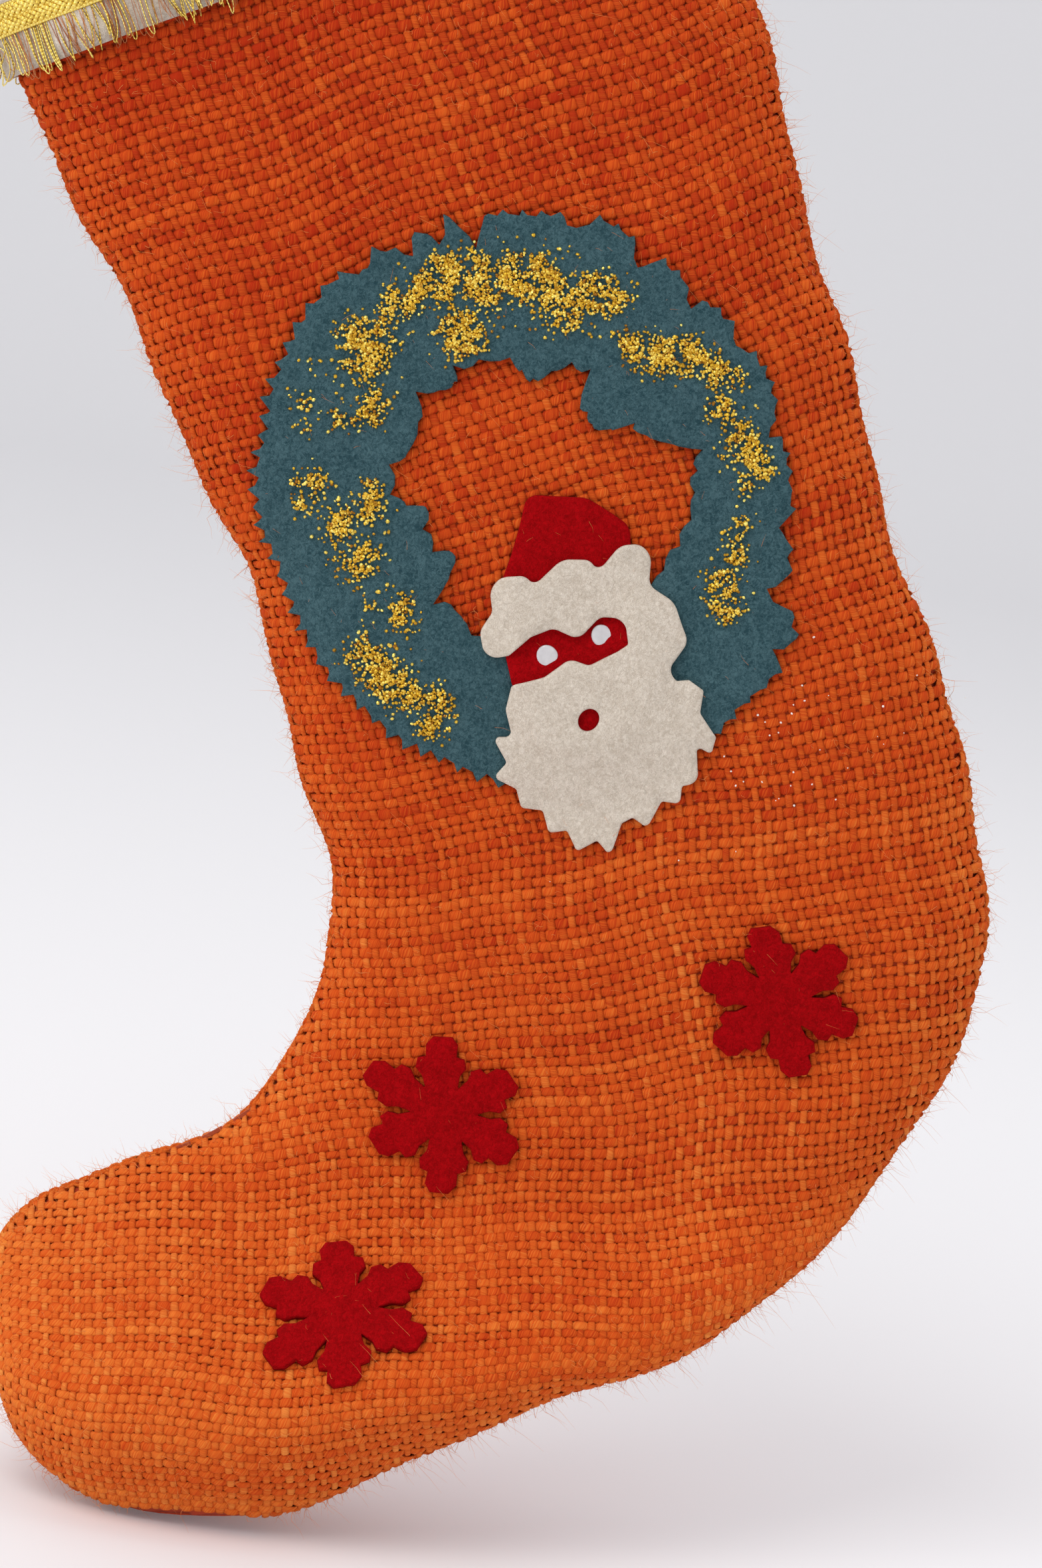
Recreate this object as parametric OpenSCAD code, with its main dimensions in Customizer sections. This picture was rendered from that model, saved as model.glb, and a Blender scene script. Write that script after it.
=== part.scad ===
// Hanging stocking: two burlap panels sewn edge to edge into an open bag, a felt cuff
// with a braid and a fringe, felt cut-outs glued on the front, and a felt tape loop.
// The bag is drawn upright in the XZ plane, then hung at the angle at which it balances.
// +Z is up, -Y is the front and the toe points towards -X. The origin is the top of the
// loop's eye, where a hook bears.

/* [Bag outline] */
// Width of the bag at its mouth
mouth_w = 168; // [140:1:205]
// Height of the bag from its mouth to its sole
bag_h = 384; // [320:1:465]
// Length of the foot from the line of the mouth's heel side to the toe
foot_l = 267; // [222:1:322]
// Height of the foot at the toe
toe_h = 81; // [67:1:98]
// How far the front edge has run in at the waist
front_in = 15; // [5:1:25]
// Height of the waist above the top of the foot
waist_up = 103; // [80:1:125]
// How far the heel lies in from the line of the mouth's heel side
heel_in = 21; // [8:1:30]
// Height above the sole at which the back edge starts to lean
back_bend_up = 144; // [125:1:175]
// Radius of the heel
heel_r = 105; // [80:1:110]
// Radius of the instep
instep_r = 58; // [40:1:65]
// Radius of the toe's upper corner
toe_top_r = 26; // [18:1:32]
// Radius of the toe's lower corner
toe_sole_r = 54; // [40:1:60]

/* [Bag depth] */
// Depth of the bag from front to back
bag_d = 24; // [20:1:32]
// Thickness of the burlap
wall = 1.6; // [1.2:0.1:2]
// How far the front of the toe kicks forward of the leg
toe_kick = 32; // [20:1:40]
// Height above the lowest point at which the foot starts to kick forward
kick_up = 61; // [55:1:75]
// Angle of the fold across the foot against the mouth
fold_turn = 20; // [10:1:30]
// Width of the seam allowance inside
seam_w = 6; // [4:0.5:8]
// Thickness of one layer of the seam allowance
seam_t = 1.4; // [1:0.1:1.8]

/* [Hanging] */
// Angle at which the leg leans when the stocking hangs
tilt = 29; // [20:0.5:35]
// Width of the loop's tape
tape_w = 10; // [8:0.5:12]
// Thickness of the loop's tape
tape_t = 1.3; // [1:0.1:1.6]
// Inside height of the loop's eye
eye_h = 30; // [24:1:40]
// Inside radius of the top of the eye
eye_r = 8; // [6:0.5:10]
// Length of the sewn root under the eye
root_l = 3; // [2:0.5:5]
// Length of tape between the sideways bend and the forward bend
neck_l = 8; // [7.5:0.5:12]
// Length of the tape sewn inside the mouth
tail_l = 22; // [16:1:26]

/* [Cuff] */
// Height of the cuff
cuff_h = 75; // [60:1:90]
// Thickness of the cuff's felt
felt_t = 1.5; // [1.2:0.1:2]
// Depth to which the cuff turns in over the mouth
turn_in = 28; // [24:1:36]
// Width of the braid
braid_w = 6.5; // [5:0.5:9]
// Thickness of the braid
braid_t = 1.1; // [0.8:0.1:1.5]
// Height of the braid above the cuff's lower edge
braid_up = 8.5; // [7:0.5:14]
// Thickness of the fringe
fringe_t = 1.4; // [1:0.1:1.8]
// How far the fringe hangs past the cuff's lower edge
fringe_past = 1.5; // [0:0.5:4]

/* [Cut-outs] */
// Thickness of the cut-outs' felt
cut_t = 1.5; // [1:0.1:2]
// Thickness of the dried glue and glitter
glitter_t = 0.5; // [0.3:0.1:1]
// Thickness of an eye
bead_t = 1.2; // [0.8:0.1:2]
// Distance of the wreath's centre from the middle of the mouth, towards the toe
wreath_off = 6; // [0:1:12]
// Depth of the wreath's centre below the mouth
wreath_down = 195; // [180:1:215]
// Size of the wreath as a share of its pattern
wreath_size = 1; // [0.85:0.01:1.1]
// Turn of the wreath and the face against the leg, in degrees
cut_turn = 20; // [0:1:30]
// Place of the face's mouth from the wreath's centre, across and up
face_at = [13, -50]; // [-80:1:80]
// Length of a snowflake's arm
flake_r = 17.5; // [14:0.5:20]
// The toe's snowflake was cut larger than the others by this share
toe_flake_size = 1.14; // [1:0.01:1.2]
// Heel snowflake: place in from the mouth's heel side, and up from the sole
heel_flake_at = [-77, 64]; // [-300:1:100]
// Ankle snowflake: place in from the mouth's heel side, and up from the fold across the foot
ankle_flake_at = [-155, 24.1]; // [-300:0.1:100]
// Toe snowflake: place in from the mouth's heel side, and up from the sole
toe_flake_at = [-188.5, 36.5]; // [-300:1:100]

/* [Hidden] */

burlap_colour = "#d9601f";
felt_cream = "#e6dcc4";
felt_red = "#b3141d";
felt_teal = "#35646b";
gold = "#c9992f";

fit = 0.2;       // clearance between layers that slide over each other
hinge_gap = 0.3; // clearance between pieces that move against each other
far = 400;       // reach of the cutting blocks
arc_step = 6;    // degrees turned by one side of a rounded corner
half = bag_d / 2;

// Levels in front of the seam, from the cuff's lining outwards
lining_in = half - wall - fit - felt_t;
cuff_out = half + fit + felt_t;
braid_out = cuff_out + braid_t;
hem_top = fit + felt_t; // top of the fold over the mouth

// Where the tape leaves the mouth, from the top of the seam on the heel side
tape_in = wall + fit + felt_t + tape_t;
tail_top = hem_top + 1;
side_bend_z = -(eye_h + root_l + hinge_gap + tape_t);
front_bend_z = side_bend_z - neck_l;
drop = -front_bend_z + tape_w / 2 + hinge_gap + tape_t * sin(tilt);

// ---- Outlines -------------------------------------------------------------------

// Direction from one point to the next.
function dir(a, b) = (b - a) / norm(b - a);
// A direction turned a quarter left, which points inwards on an anticlockwise outline.
function left(u) = [-u[1], u[0]];
function cross2(a, b) = a[0] * b[1] - a[1] * b[0];
// Corner i of a closed list.
function at(list, i) = list[(i + len(list)) % len(list)];
function xy(c) = [c[0], c[1]];
// Angle turned at corner i, positive to the left.
function turn_at(list, i) = let (u = dir(xy(at(list, i - 1)), xy(list[i])), v = dir(xy(list[i]), xy(at(list, i + 1))))
    atan2(cross2(u, v), u * v);
// Length that the arc at corner i takes from each side.
function arc_take(list, i) = let (k = (i + len(list)) % len(list)) list[k][2] * abs(tan(turn_at(list, k) / 2));
// Share of corner i's radius that fits on the side towards corner j.
function side_share(list, i, j) = let (room = norm(xy(at(list, j)) - xy(list[i])),
    used = arc_take(list, i) + arc_take(list, j)) used > 0.98 * room ? 0.98 * room / used : 1;
// Corners [x, y, radius] with each radius limited by the sides that it stands on.
function fitted(list) = [for (i = [0:len(list) - 1])
    [list[i][0], list[i][1], list[i][2] * min(side_share(list, i, i - 1), side_share(list, i, i + 1))]];
// Corners moved inwards by d, the last side by d_last instead.
function moved(list, d, d_last) = [for (i = [0:len(list) - 1])
    let (n = len(list), u = left(dir(xy(at(list, i - 1)), xy(list[i]))), v = left(dir(xy(list[i]), xy(at(list, i + 1)))),
        du = i == 0 ? d_last : d, dv = i == n - 1 ? d_last : d,
        p = xy(list[i]) + [du * v[1] - dv * u[1], dv * u[0] - du * v[0]] / cross2(u, v),
        r = list[i][2] == 0 ? 0 : max(0.5, list[i][2] - sign(turn_at(list, i)) * d))
    [p[0], p[1], r]];
// Points of an outline with each corner drawn as an arc.
function rounded(list) = [for (i = [0:len(list) - 1])
    let (a = turn_at(list, i), r = list[i][2], take = arc_take(list, i), p = xy(list[i]),
        u = dir(xy(at(list, i - 1)), p), start = p - u * take, centre = start + left(u) * r * sign(a),
        steps = max(1, ceil(abs(a) / arc_step)))
    each (r == 0 ? [p] : [for (k = [0:steps]) let (t = a * k / steps, s = start - centre)
        centre + [s[0] * cos(t) - s[1] * sin(t), s[0] * sin(t) + s[1] * cos(t)]])];

// Bag outline, anticlockwise from the mouth's toe side: across, up and radius.
bag_corners = fitted([
    [-mouth_w, 0, 0],
    [-(mouth_w - front_in), -(bag_h - toe_h - waist_up), 300],
    [-(mouth_w - front_in + 6), -(bag_h - toe_h), instep_r],
    [-foot_l, -(bag_h - toe_h), toe_top_r],
    [-foot_l, -bag_h, toe_sole_r],
    [-heel_in, -bag_h, heel_r],
    [-heel_in + 1, -(bag_h - back_bend_up), 250],
    [0, 0, 0]]);
// Outline lying d inside the cut edge, with the mouth's side raised.
function bag_outline(d, raise = 0) = rounded(moved(bag_corners, d, -raise));

// A point of the upright bag, turned so that the fold across the foot is level: across and up.
function level_x(p) = p[0] * cos(fold_turn) - p[1] * sin(fold_turn);
function level_z(p) = p[0] * sin(fold_turn) + p[1] * cos(fold_turn);
low = min([for (p = bag_outline(0)) level_z(p)]);

// Depth outline, anticlockwise seen with the front to the left: forward is negative.
depth_corners = fitted([
    [-half, far, 0],
    [-half, low + kick_up, 11],
    [-half - toe_kick, low + kick_up - toe_kick, 12],
    [-half - toe_kick + 2, low, 18],
    [-half - 4, low, 12],
    [half / 2, low + kick_up / 2, 60],
    [half, low + kick_up + 14, 60],
    [half, far, 0]]);
function depth_outline(d) = rounded(moved(depth_corners, d, -1));

// Line of the side seam, from above the mouth to below the toe: forward and up.
seam_line = [[0, far], [0, low + kick_up + 5], [-toe_kick / 2 - 4, low + kick_up / 2],
    [-half - toe_kick / 2 - 2, low - 2], [-half - toe_kick / 2 - 8, low - far]];
// Region between two lines parallel to the seam, by distance in front of it.
function seam_band(back, front) = concat([for (p = seam_line) p - [back, 0]],
    [for (i = [len(seam_line) - 1:-1:0]) seam_line[i] - [front, 0]]);

// ---- Placing --------------------------------------------------------------------

// Stands a flat shape up in the XZ plane, between two distances in front of the seam.
module plate(back, front) rotate([90, 0, 0]) translate([0, 0, back]) linear_extrude(front - back) children();
// Takes a piece of the upright bag to where it hangs.
module hung() translate([0, 0, -drop]) rotate([0, -tilt, 0]) translate([tape_in, 0, -tail_top]) children();
// Takes a piece drawn with the fold level to where it hangs.
module levelled() hung() rotate([0, fold_turn, 0]) children();
// A flat shape drawn across the depth, run along the fold.
module run() levelled() translate([-far, 0, 0]) rotate([90, 0, 90]) linear_extrude(2 * far) children();
// Sets a piece on the front of the upright bag.
module on_bag(p, turn = 0) hung() translate([p[0], 0, p[1]]) rotate([0, turn, 0]) children();
module backwards() mirror([0, 1, 0]) children();

// The bag's outer form, or the form lying d inside it, open at the mouth.
module bag_form(d) intersection() {
    hung() plate(-3 * far, 3 * far) polygon(bag_outline(d, d > 0 ? far / 4 : 0));
    run() polygon(depth_outline(d));
}
// The slice of the bag's outline between two heights of the upright bag.
module slice(d, z_low, z_high) intersection() {
    polygon(bag_outline(d, far / 4));
    translate([-far, z_low]) square([2 * far, z_high - z_low]);
}

// ---- Bag ------------------------------------------------------------------------

// One panel: its face, its rolled side and its layer of the seam allowance.
module panel(back, front, seam_back, seam_front) {
    intersection() {
        run() polygon(seam_band(back, front));
        difference() {
            bag_form(0);
            bag_form(wall);
        }
    }
    intersection() {
        run() polygon(seam_band(seam_back, seam_front));
        hung() plate(-far, far) difference() {
            slice(wall / 2, -far - bag_h, -turn_in - 4);
            polygon(bag_outline(wall + seam_w, far / 4));
        }
    }
}
module front_panel() color(burlap_colour) panel(0, far, 0, seam_t);
module back_panel() color(burlap_colour) panel(-far, 0, -seam_t, 0);

// Places every step along the middle of the seam allowance, each with its direction.
seam_path = bag_outline(wall + seam_w / 2, 0);
seam_runs = [for (i = [0:len(seam_path) - 2]) norm(seam_path[i + 1] - seam_path[i])];
function run_to(i) = i <= 0 ? 0 : run_to(i - 1) + seam_runs[i - 1];
seam_marks = [for (i = [0:len(seam_runs)]) run_to(i)];
stitch_step = 8;
stitch_l = 5;
stitch_w = 0.8;
stitch_t = 0.5;
function seam_place(s) = let (i = max([for (k = [0:len(seam_runs) - 1]) if (seam_marks[k] <= s) k]),
    u = dir(seam_path[i], seam_path[i + 1]), p = seam_path[i] + u * (s - seam_marks[i])) [p, atan2(u[1], u[0])];

module seam_stitches() color("#a8461a") intersection() {
    run() polygon(seam_band(seam_t, seam_t + stitch_t));
    hung() for (s = [stitch_step:stitch_step:seam_marks[len(seam_runs)] - stitch_step]) {
        place = seam_place(s);
        if (place[0][1] < -turn_in - 8)
            translate([place[0][0], 0, place[0][1]]) rotate([0, -place[1], 0])
                translate([-stitch_l / 2, -far, -stitch_w / 2]) cube([stitch_l, 2 * far, stitch_w]);
    }
}

// ---- Cuff -----------------------------------------------------------------------

// Half of the cuff: a flap outside the bag, a fold over the mouth and a lining inside.
module cuff_half() color(felt_cream) hung() difference() {
    union() {
        difference() {
            plate(0, cuff_out) slice(-hem_top, -cuff_h, hem_top);
            plate(-1, half + fit) slice(-fit, -cuff_h - 1, fit);
        }
        plate(0, half - wall - fit) slice(wall + fit, -turn_in, hem_top);
    }
    plate(-1, lining_in) slice(wall + hem_top, -turn_in - 1, hem_top + 1);
}
module cuff_front() cuff_half();
module cuff_back() backwards() cuff_half();

// Running stitches that hold the lining, on its inner faces.
lining_step = 10;
lining_stitch = [6, stitch_t, stitch_w];
module cuff_stitches() color("#d8ccb0") hung()
    for (x = [-mouth_w + 16:lining_step:-16], side = [-1, 1])
        translate([x - lining_stitch[0] / 2, side * (lining_in - stitch_t / 2) - stitch_t / 2, -turn_in + 3])
            cube(lining_stitch);

braid_low = -cuff_h + braid_up;
module braid_half() color(gold) hung() difference() {
    plate(0, braid_out) slice(-hem_top - braid_t, braid_low, braid_low + braid_w);
    plate(-1, cuff_out) slice(-hem_top, braid_low - 1, braid_low + braid_w + 1);
}
module braid_front() braid_half();
module braid_back() backwards() braid_half();

// The fringe hangs from the braid's lower edge, rounded where it turns.
fringe_z = braid_low - hinge_gap - fringe_t / 2;
fringe_y = cuff_out + hinge_gap;
fringe_low = -cuff_h - fringe_past;
function toe_side_x(z) = -mouth_w - front_in * z / (bag_h - toe_h - waist_up) - hem_top;
function heel_side_x(z) = (heel_in - 1) * z / (bag_h - back_bend_up) + hem_top;
module fringe_half() color(gold) hung() {
    left_x = toe_side_x(fringe_z);
    right_x = heel_side_x(fringe_z);
    plate(fringe_y, fringe_y + fringe_t)
        polygon([[left_x, fringe_z], [toe_side_x(fringe_low), fringe_low],
            [heel_side_x(fringe_low), fringe_low], [right_x, fringe_z]]);
    translate([left_x, -fringe_y - fringe_t / 2, fringe_z]) rotate([0, 90, 0])
        cylinder(h = right_x - left_x, r = fringe_t / 2, $fn = 32);
}
module fringe_front() fringe_half();
module fringe_back() backwards() fringe_half();

// ---- Loop -----------------------------------------------------------------------

// The eye is a round top with two straight sides that meet at the root.
eye_fall = eye_h - eye_r;                          // from the round's centre to the root
eye_cos = eye_r / eye_fall;
eye_sin = sqrt(1 - eye_cos * eye_cos);
module eye_form(grow) {
    translate([0, -eye_r]) circle(r = eye_r + grow, $fn = 64);
    polygon([for (s = [-1, 1], end = s < 0 ? [0, 1] : [1, 0])
        (end == 0 ? [0, -eye_r] + eye_r * [s * eye_sin, -eye_cos] : [0, -eye_h])
            + grow * [s * eye_sin, -eye_cos]]);
}
module hanging_loop() color(felt_cream) plate(-tape_w / 2, tape_w / 2) difference() {
    union() {
        eye_form(tape_t);
        translate([-tape_t, -eye_h - root_l]) square([2 * tape_t, root_l + tape_t]);
    }
    eye_form(0);
}
// Two layers of tape that bend sideways at their top and forward at their bottom.
module loop_neck() color(felt_cream) {
    translate([0, tape_w / 2, side_bend_z]) rotate([90, 0, 0]) cylinder(h = tape_w, r = tape_t, $fn = 48);
    translate([-tape_t, -tape_w / 2, front_bend_z]) cube([2 * tape_t, tape_w, neck_l]);
    translate([-tape_t, 0, front_bend_z]) rotate([0, 90, 0]) cylinder(h = 2 * tape_t, r = tape_w / 2, $fn = 64);
}
module along_back(near, thick, z_low, z_high) intersection() {
    difference() {
        slice(near, z_low, z_high);
        polygon(bag_outline(near + thick, far / 4));
    }
    translate([-far / 10, z_low]) square([far / 5, z_high - z_low]);
}
module loop_tail() color(felt_cream) hung()
    plate(-tape_w / 2, tape_w / 2) along_back(wall + hem_top, 2 * tape_t, tail_top - tail_l, tail_top);
module loop_stitches() color("#d8ccb0") hung()
    for (z = [tail_top - tail_l + 3:4:-3])
        plate(-tape_w / 2 + 1.5, tape_w / 2 - 1.5)
            along_back(wall + hem_top + 2 * tape_t, stitch_t, z, z + stitch_w);

// ---- Cut-outs -------------------------------------------------------------------

// Distance of the wreath's outer edge from its centre every 15 degrees, anticlockwise from
// the heel side.
wreath_outer = [56, 55, 55.5, 57, 58, 59.5, 58, 60, 59, 63, 60.5, 58, 57.5, 57.5, 57, 57.5, 59.5, 61, 65, 68, 68, 65, 66,
    59];
wreath_step = 15;
// Cuts between the larger leaves: angle, depth and half the width in degrees.
leaf_cuts = [[103, 8, 3.4], [111, 5, 3], [118, 4, 3], [128, 3.5, 3], [64, 5, 3.4], [50, 3.5, 3], [80, 3.5, 3.4], [36, 3, 3],
    [339, 6, 3.4], [352, 3.5, 3], [327, 4, 3], [14, 2.5, 3]];
// Corners of the hole, as angle and distance from the centre. The last ones lie under the face.
wreath_inner = [[0, 35], [8, 36], [15, 38], [19, 32], [25, 27.5], [32, 26.5], [35, 21.5], [44, 19], [59, 21.5], [62, 28.5],
    [70, 28.5], [78, 25.5], [87, 23.5], [92, 25.5], [96, 28.5], [109, 29.5], [120, 30.5], [124, 27.5], [132, 28],
    [139, 31.5], [149, 27.5], [163, 27], [169, 30.5], [181, 30], [187, 27], [190, 23], [200, 25.5], [212, 26],
    [219, 22.5], [226, 25.5], [230, 32], [239, 30], [250, 33], [270, 38], [300, 38], [330, 35]];
leaf_turn = 4;    // degrees between the teeth outside
lobe_turn = 10;   // degrees between the lobes inside
function between(list, a) = let (k = floor(a / wreath_step), t = a / wreath_step - k)
    at(list, k) * (1 - t) + at(list, k + 1) * t;
function sum(list, i = 0) = i < len(list) ? list[i] + sum(list, i + 1) : 0;
function leaf_cut(a) = sum([for (c = leaf_cuts) c[1] * max(0, 1 - abs(a - c[0]) / c[2])]);
function outer_r(a) = between(wreath_outer, a) - leaf_cut(a);
// The teeth are small on the toe side and run together into leaves on the heel side.
function tooth(i) = (0.6 + 0.9 * abs(sin(i * 137))) * (i * leaf_turn > 120 && i * leaf_turn < 300 ? 1.2 : 0.7);
function polar(r, a) = r * [cos(a), sin(a)];
wreath_leaves = [for (a = [0:leaf_turn:360 - leaf_turn]) let (i = a / leaf_turn)
    each [polar(outer_r(a) + tooth(i), a), polar(outer_r(a + 1.6) - tooth(i + 3) / 2, a + 1.4 + 0.8 * cos(i * 71)),
        polar(outer_r(a + 2.8), a + 3)]];
function hole_side(i) = let (p = wreath_inner[i], q = at(wreath_inner, i + 1)) [p, [q[0] + (q[0] < p[0] ? 360 : 0), q[1]]];
// Lobes between two corners of the hole: each is low at its ends and stands into the hole at its middle.
wreath_hole = [for (i = [0:len(wreath_inner) - 1]) let (e = hole_side(i), n = max(1, round((e[1][0] - e[0][0]) / lobe_turn)))
    for (k = [0:n - 1], t = [0, 0.35, 0.7]) let (u = (k + t) / n, a = e[0][0] * (1 - u) + e[1][0] * u)
        polar(e[0][1] * (1 - u) + e[1][1] * u - (t == 0 ? 0 : 1.1 + 0.4 * sin(a * 13)), a)];
wreath_at = [-mouth_w / 2 - wreath_off, -wreath_down];

module wreath() color(felt_teal) on_bag(wreath_at, cut_turn) plate(half, half + cut_t)
    scale([wreath_size, wreath_size]) difference() {
        polygon(wreath_leaves);
        polygon(wreath_hole);
    }

// Dabs of glitter glue on the wreath: across, up and radius.
dabs = [[-38, 35, 2.5], [-34, 31, 5.5], [-27.5, 39, 3], [-22.5, 42, 3.5], [-18, 45, 4.5], [-12, 46, 4.5], [-8.5, 42.5, 3.5],
    [-3.5, 45.5, 4.5], [2, 45, 4.5], [6, 42.5, 4], [11.5, 41, 3], [15.5, 42.5, 4], [20, 42, 3], [9.5, 36.5, 2.5],
    [-13, 33, 5], [22, 31, 2.5], [27, 29.5, 4], [33.5, 30.5, 3.5], [38.5, 27, 3], [43, 24.5, 1.5], [40, 18.5, 2.5],
    [44, 13, 2.5], [46, 9.5, 3.5], [49, 5.5, 3], [46, 1, 1.5], [45, -7.5, 2], [45, -13, 2.2], [43, -18.5, 2.5],
    [43.5, -23.5, 3], [-46, 28.5, 1.2], [-48.5, 21, 1.5], [-48.5, 14.5, 1], [-41.5, 16.5, 1.5], [-33, 18.5, 3.2],
    [-38, 15.5, 1.5], [-47, 3, 2.5], [-48.5, -2.5, 1.5], [-42, -7, 3], [-37.5, -4.5, 2.5], [-34, -1, 3], [-37.5, -14, 3.2],
    [-41, -17.5, 1.5], [-34.5, -23.5, 1.5], [-28, -25.5, 2.5], [-26, -29, 1.5], [-36.5, -34, 2.5], [-32.5, -37, 4],
    [-28, -41.5, 4], [-23.5, -44, 2.5], [-18, -44.5, 2], [-20.5, -50, 3]];
module wreath_glitter() color("goldenrod") on_bag(wreath_at, cut_turn) plate(half + cut_t, half + cut_t + glitter_t)
    scale([wreath_size, wreath_size]) for (d = dabs) translate([d[0], d[1]]) circle(r = d[2], $fn = 24);

// The face is drawn round its mouth: across, up and radius, anticlockwise.
cap_corners = [[-16.5, 9, 2], [-13, -6, 6], [0, -10, 12], [13, -6, 6], [17.5, 8, 3], [15, 24, 3], [9.5, 36, 2],
    [8.5, 41, 4], [-1, 47, 6], [-14, 48.5, 3], [-16.5, 40, 8], [-19, 30, 2]];
brim_and_beard_corners = [[-16.5, 15, 1.5], [-21.5, 14, 3], [-22.5, 20, 3], [-20, 24, 2], [-22, 31, 3.5], [-14, 31.5, 4],
    [-11.5, 29.5, 2.5], [-6, 34.5, 4.5], [0.5, 34, 4], [3, 31.5, 2], [7, 37, 4], [14, 37.5, 4], [14.5, 29, 3], [20, 26, 4],
    [22, 17, 4.5], [17, 9.5, 3], [19, 7.5, 0.6], [21.5, 8, 0.6], [24.5, 6, 0.6], [24, 1, 1.5], [27.5, -4, 0.8],
    [26.5, -8, 0.8], [23.5, -6.5, 0.8], [23.5, -15, 3], [20, -16, 0.8], [19.5, -20, 1.2], [15.5, -19.5, 0.8],
    [12.5, -25, 1.2], [9, -22.5, 1], [6.5, -23.5, 0.8], [4.5, -30, 1], [1, -26.5, 0.8], [-3.5, -28.5, 1],
    [-6, -24, 0.8], [-10, -24.5, 1], [-11, -19.5, 0.8], [-15.5, -19, 1], [-16, -14.5, 0.8], [-20.5, -12, 1],
    [-17.5, -8.5, 1.2], [-20.5, -3, 0.8], [-16.5, -3, 1.2], [-18, 3, 2], [-16.5, 8.5, 1.5], [-9.5, 10, 3], [-3.5, 13.5, 3],
    [0.5, 11.5, 2], [7, 14, 2], [9.5, 15.5, 1], [9.5, 21.5, 3], [4, 22, 3], [-1, 17.5, 3], [-6.5, 20.5, 3], [-11.5, 19, 2]];
mouth_hole_r = 2.4;
face_back = half + cut_t;
face_place = wreath_at + [face_at[0] * cos(cut_turn) + face_at[1] * sin(cut_turn),
    face_at[1] * cos(cut_turn) - face_at[0] * sin(cut_turn)];

// Walks an outline the other way round.
function reversed(list) = [for (i = [len(list) - 1:-1:0]) list[i]];
module cap_and_face() color(felt_red) on_bag(face_place, cut_turn) plate(face_back, face_back + cut_t)
    polygon(rounded(fitted(cap_corners)));
module brim_and_beard() color(felt_cream) on_bag(face_place, cut_turn) plate(face_back + cut_t, face_back + 2 * cut_t)
    difference() {
        polygon(rounded(fitted(reversed(brim_and_beard_corners))));
        circle(r = mouth_hole_r, $fn = 32);
    }
// A pearly oval, taller than it is wide.
bead_r = 2.2;
bead_long = 1;
module bead(p) color("#f4f4f0") on_bag(face_place, cut_turn) translate([p[0], 0, p[1]])
    plate(face_back + cut_t, face_back + cut_t + bead_t) {
        for (s = [-1, 1]) translate([0, s * bead_long / 2]) circle(r = bead_r, $fn = 32);
        square([2 * bead_r, bead_long], center = true);
    }
module eye_left() bead([-8.2, 14.3]);
module eye_right() bead([4.2, 17.6]);

// Half of a snowflake's arm, as shares of its length: out to the side and along.
arm_half = [[0.19, 0], [0.2, 0.37], [0.23, 0.5], [0.31, 0.6], [0.29, 0.72], [0.19, 0.75], [0.2, 0.9], [0.12, 1]];
flake_arms = 6;
module flake(p, turn, level) color(felt_red) on_bag(p, turn) plate(level, level + cut_t) flake_shape();
module flake_shape() for (i = [0:flake_arms - 1]) rotate(i * 360 / flake_arms)
    polygon(flake_r * concat([for (q = arm_half) [q[0], q[1]]],
        [for (q = reversed(arm_half)) [-q[0], q[1]]]));
module snowflake_heel() flake([heel_flake_at[0], heel_flake_at[1] - bag_h], 8, half);
// Height at which a point lies so far over the fold across the foot.
function over_fold(x, up) = (low + kick_up + up - x * sin(fold_turn)) / cos(fold_turn);
module snowflake_ankle() flake([ankle_flake_at[0], over_fold(ankle_flake_at[0], ankle_flake_at[1])], 23, half);
// The toe's snowflake lies on the slope of the kick, halfway down it.
toe_point = [toe_flake_at[0], toe_flake_at[1] - bag_h];
kick_angle = 45;
module snowflake_toe() color(felt_red)
    levelled() translate([level_x(toe_point), -half - toe_kick / 2, low + kick_up - toe_kick / 2])
        rotate([-kick_angle, 0, 0]) plate(0, cut_t) rotate(5) scale([toe_flake_size, toe_flake_size]) flake_shape();

hanging_loop();
loop_neck();
loop_tail();
loop_stitches();
front_panel();
back_panel();
seam_stitches();
cuff_front();
cuff_back();
cuff_stitches();
braid_front();
braid_back();
fringe_front();
fringe_back();
wreath();
wreath_glitter();
cap_and_face();
brim_and_beard();
eye_left();
eye_right();
snowflake_heel();
snowflake_ankle();
snowflake_toe();
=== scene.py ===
import math

import bmesh
import bpy
import numpy as np
from mathutils import Matrix, Vector
from mathutils.bvhtree import BVHTree


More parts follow.
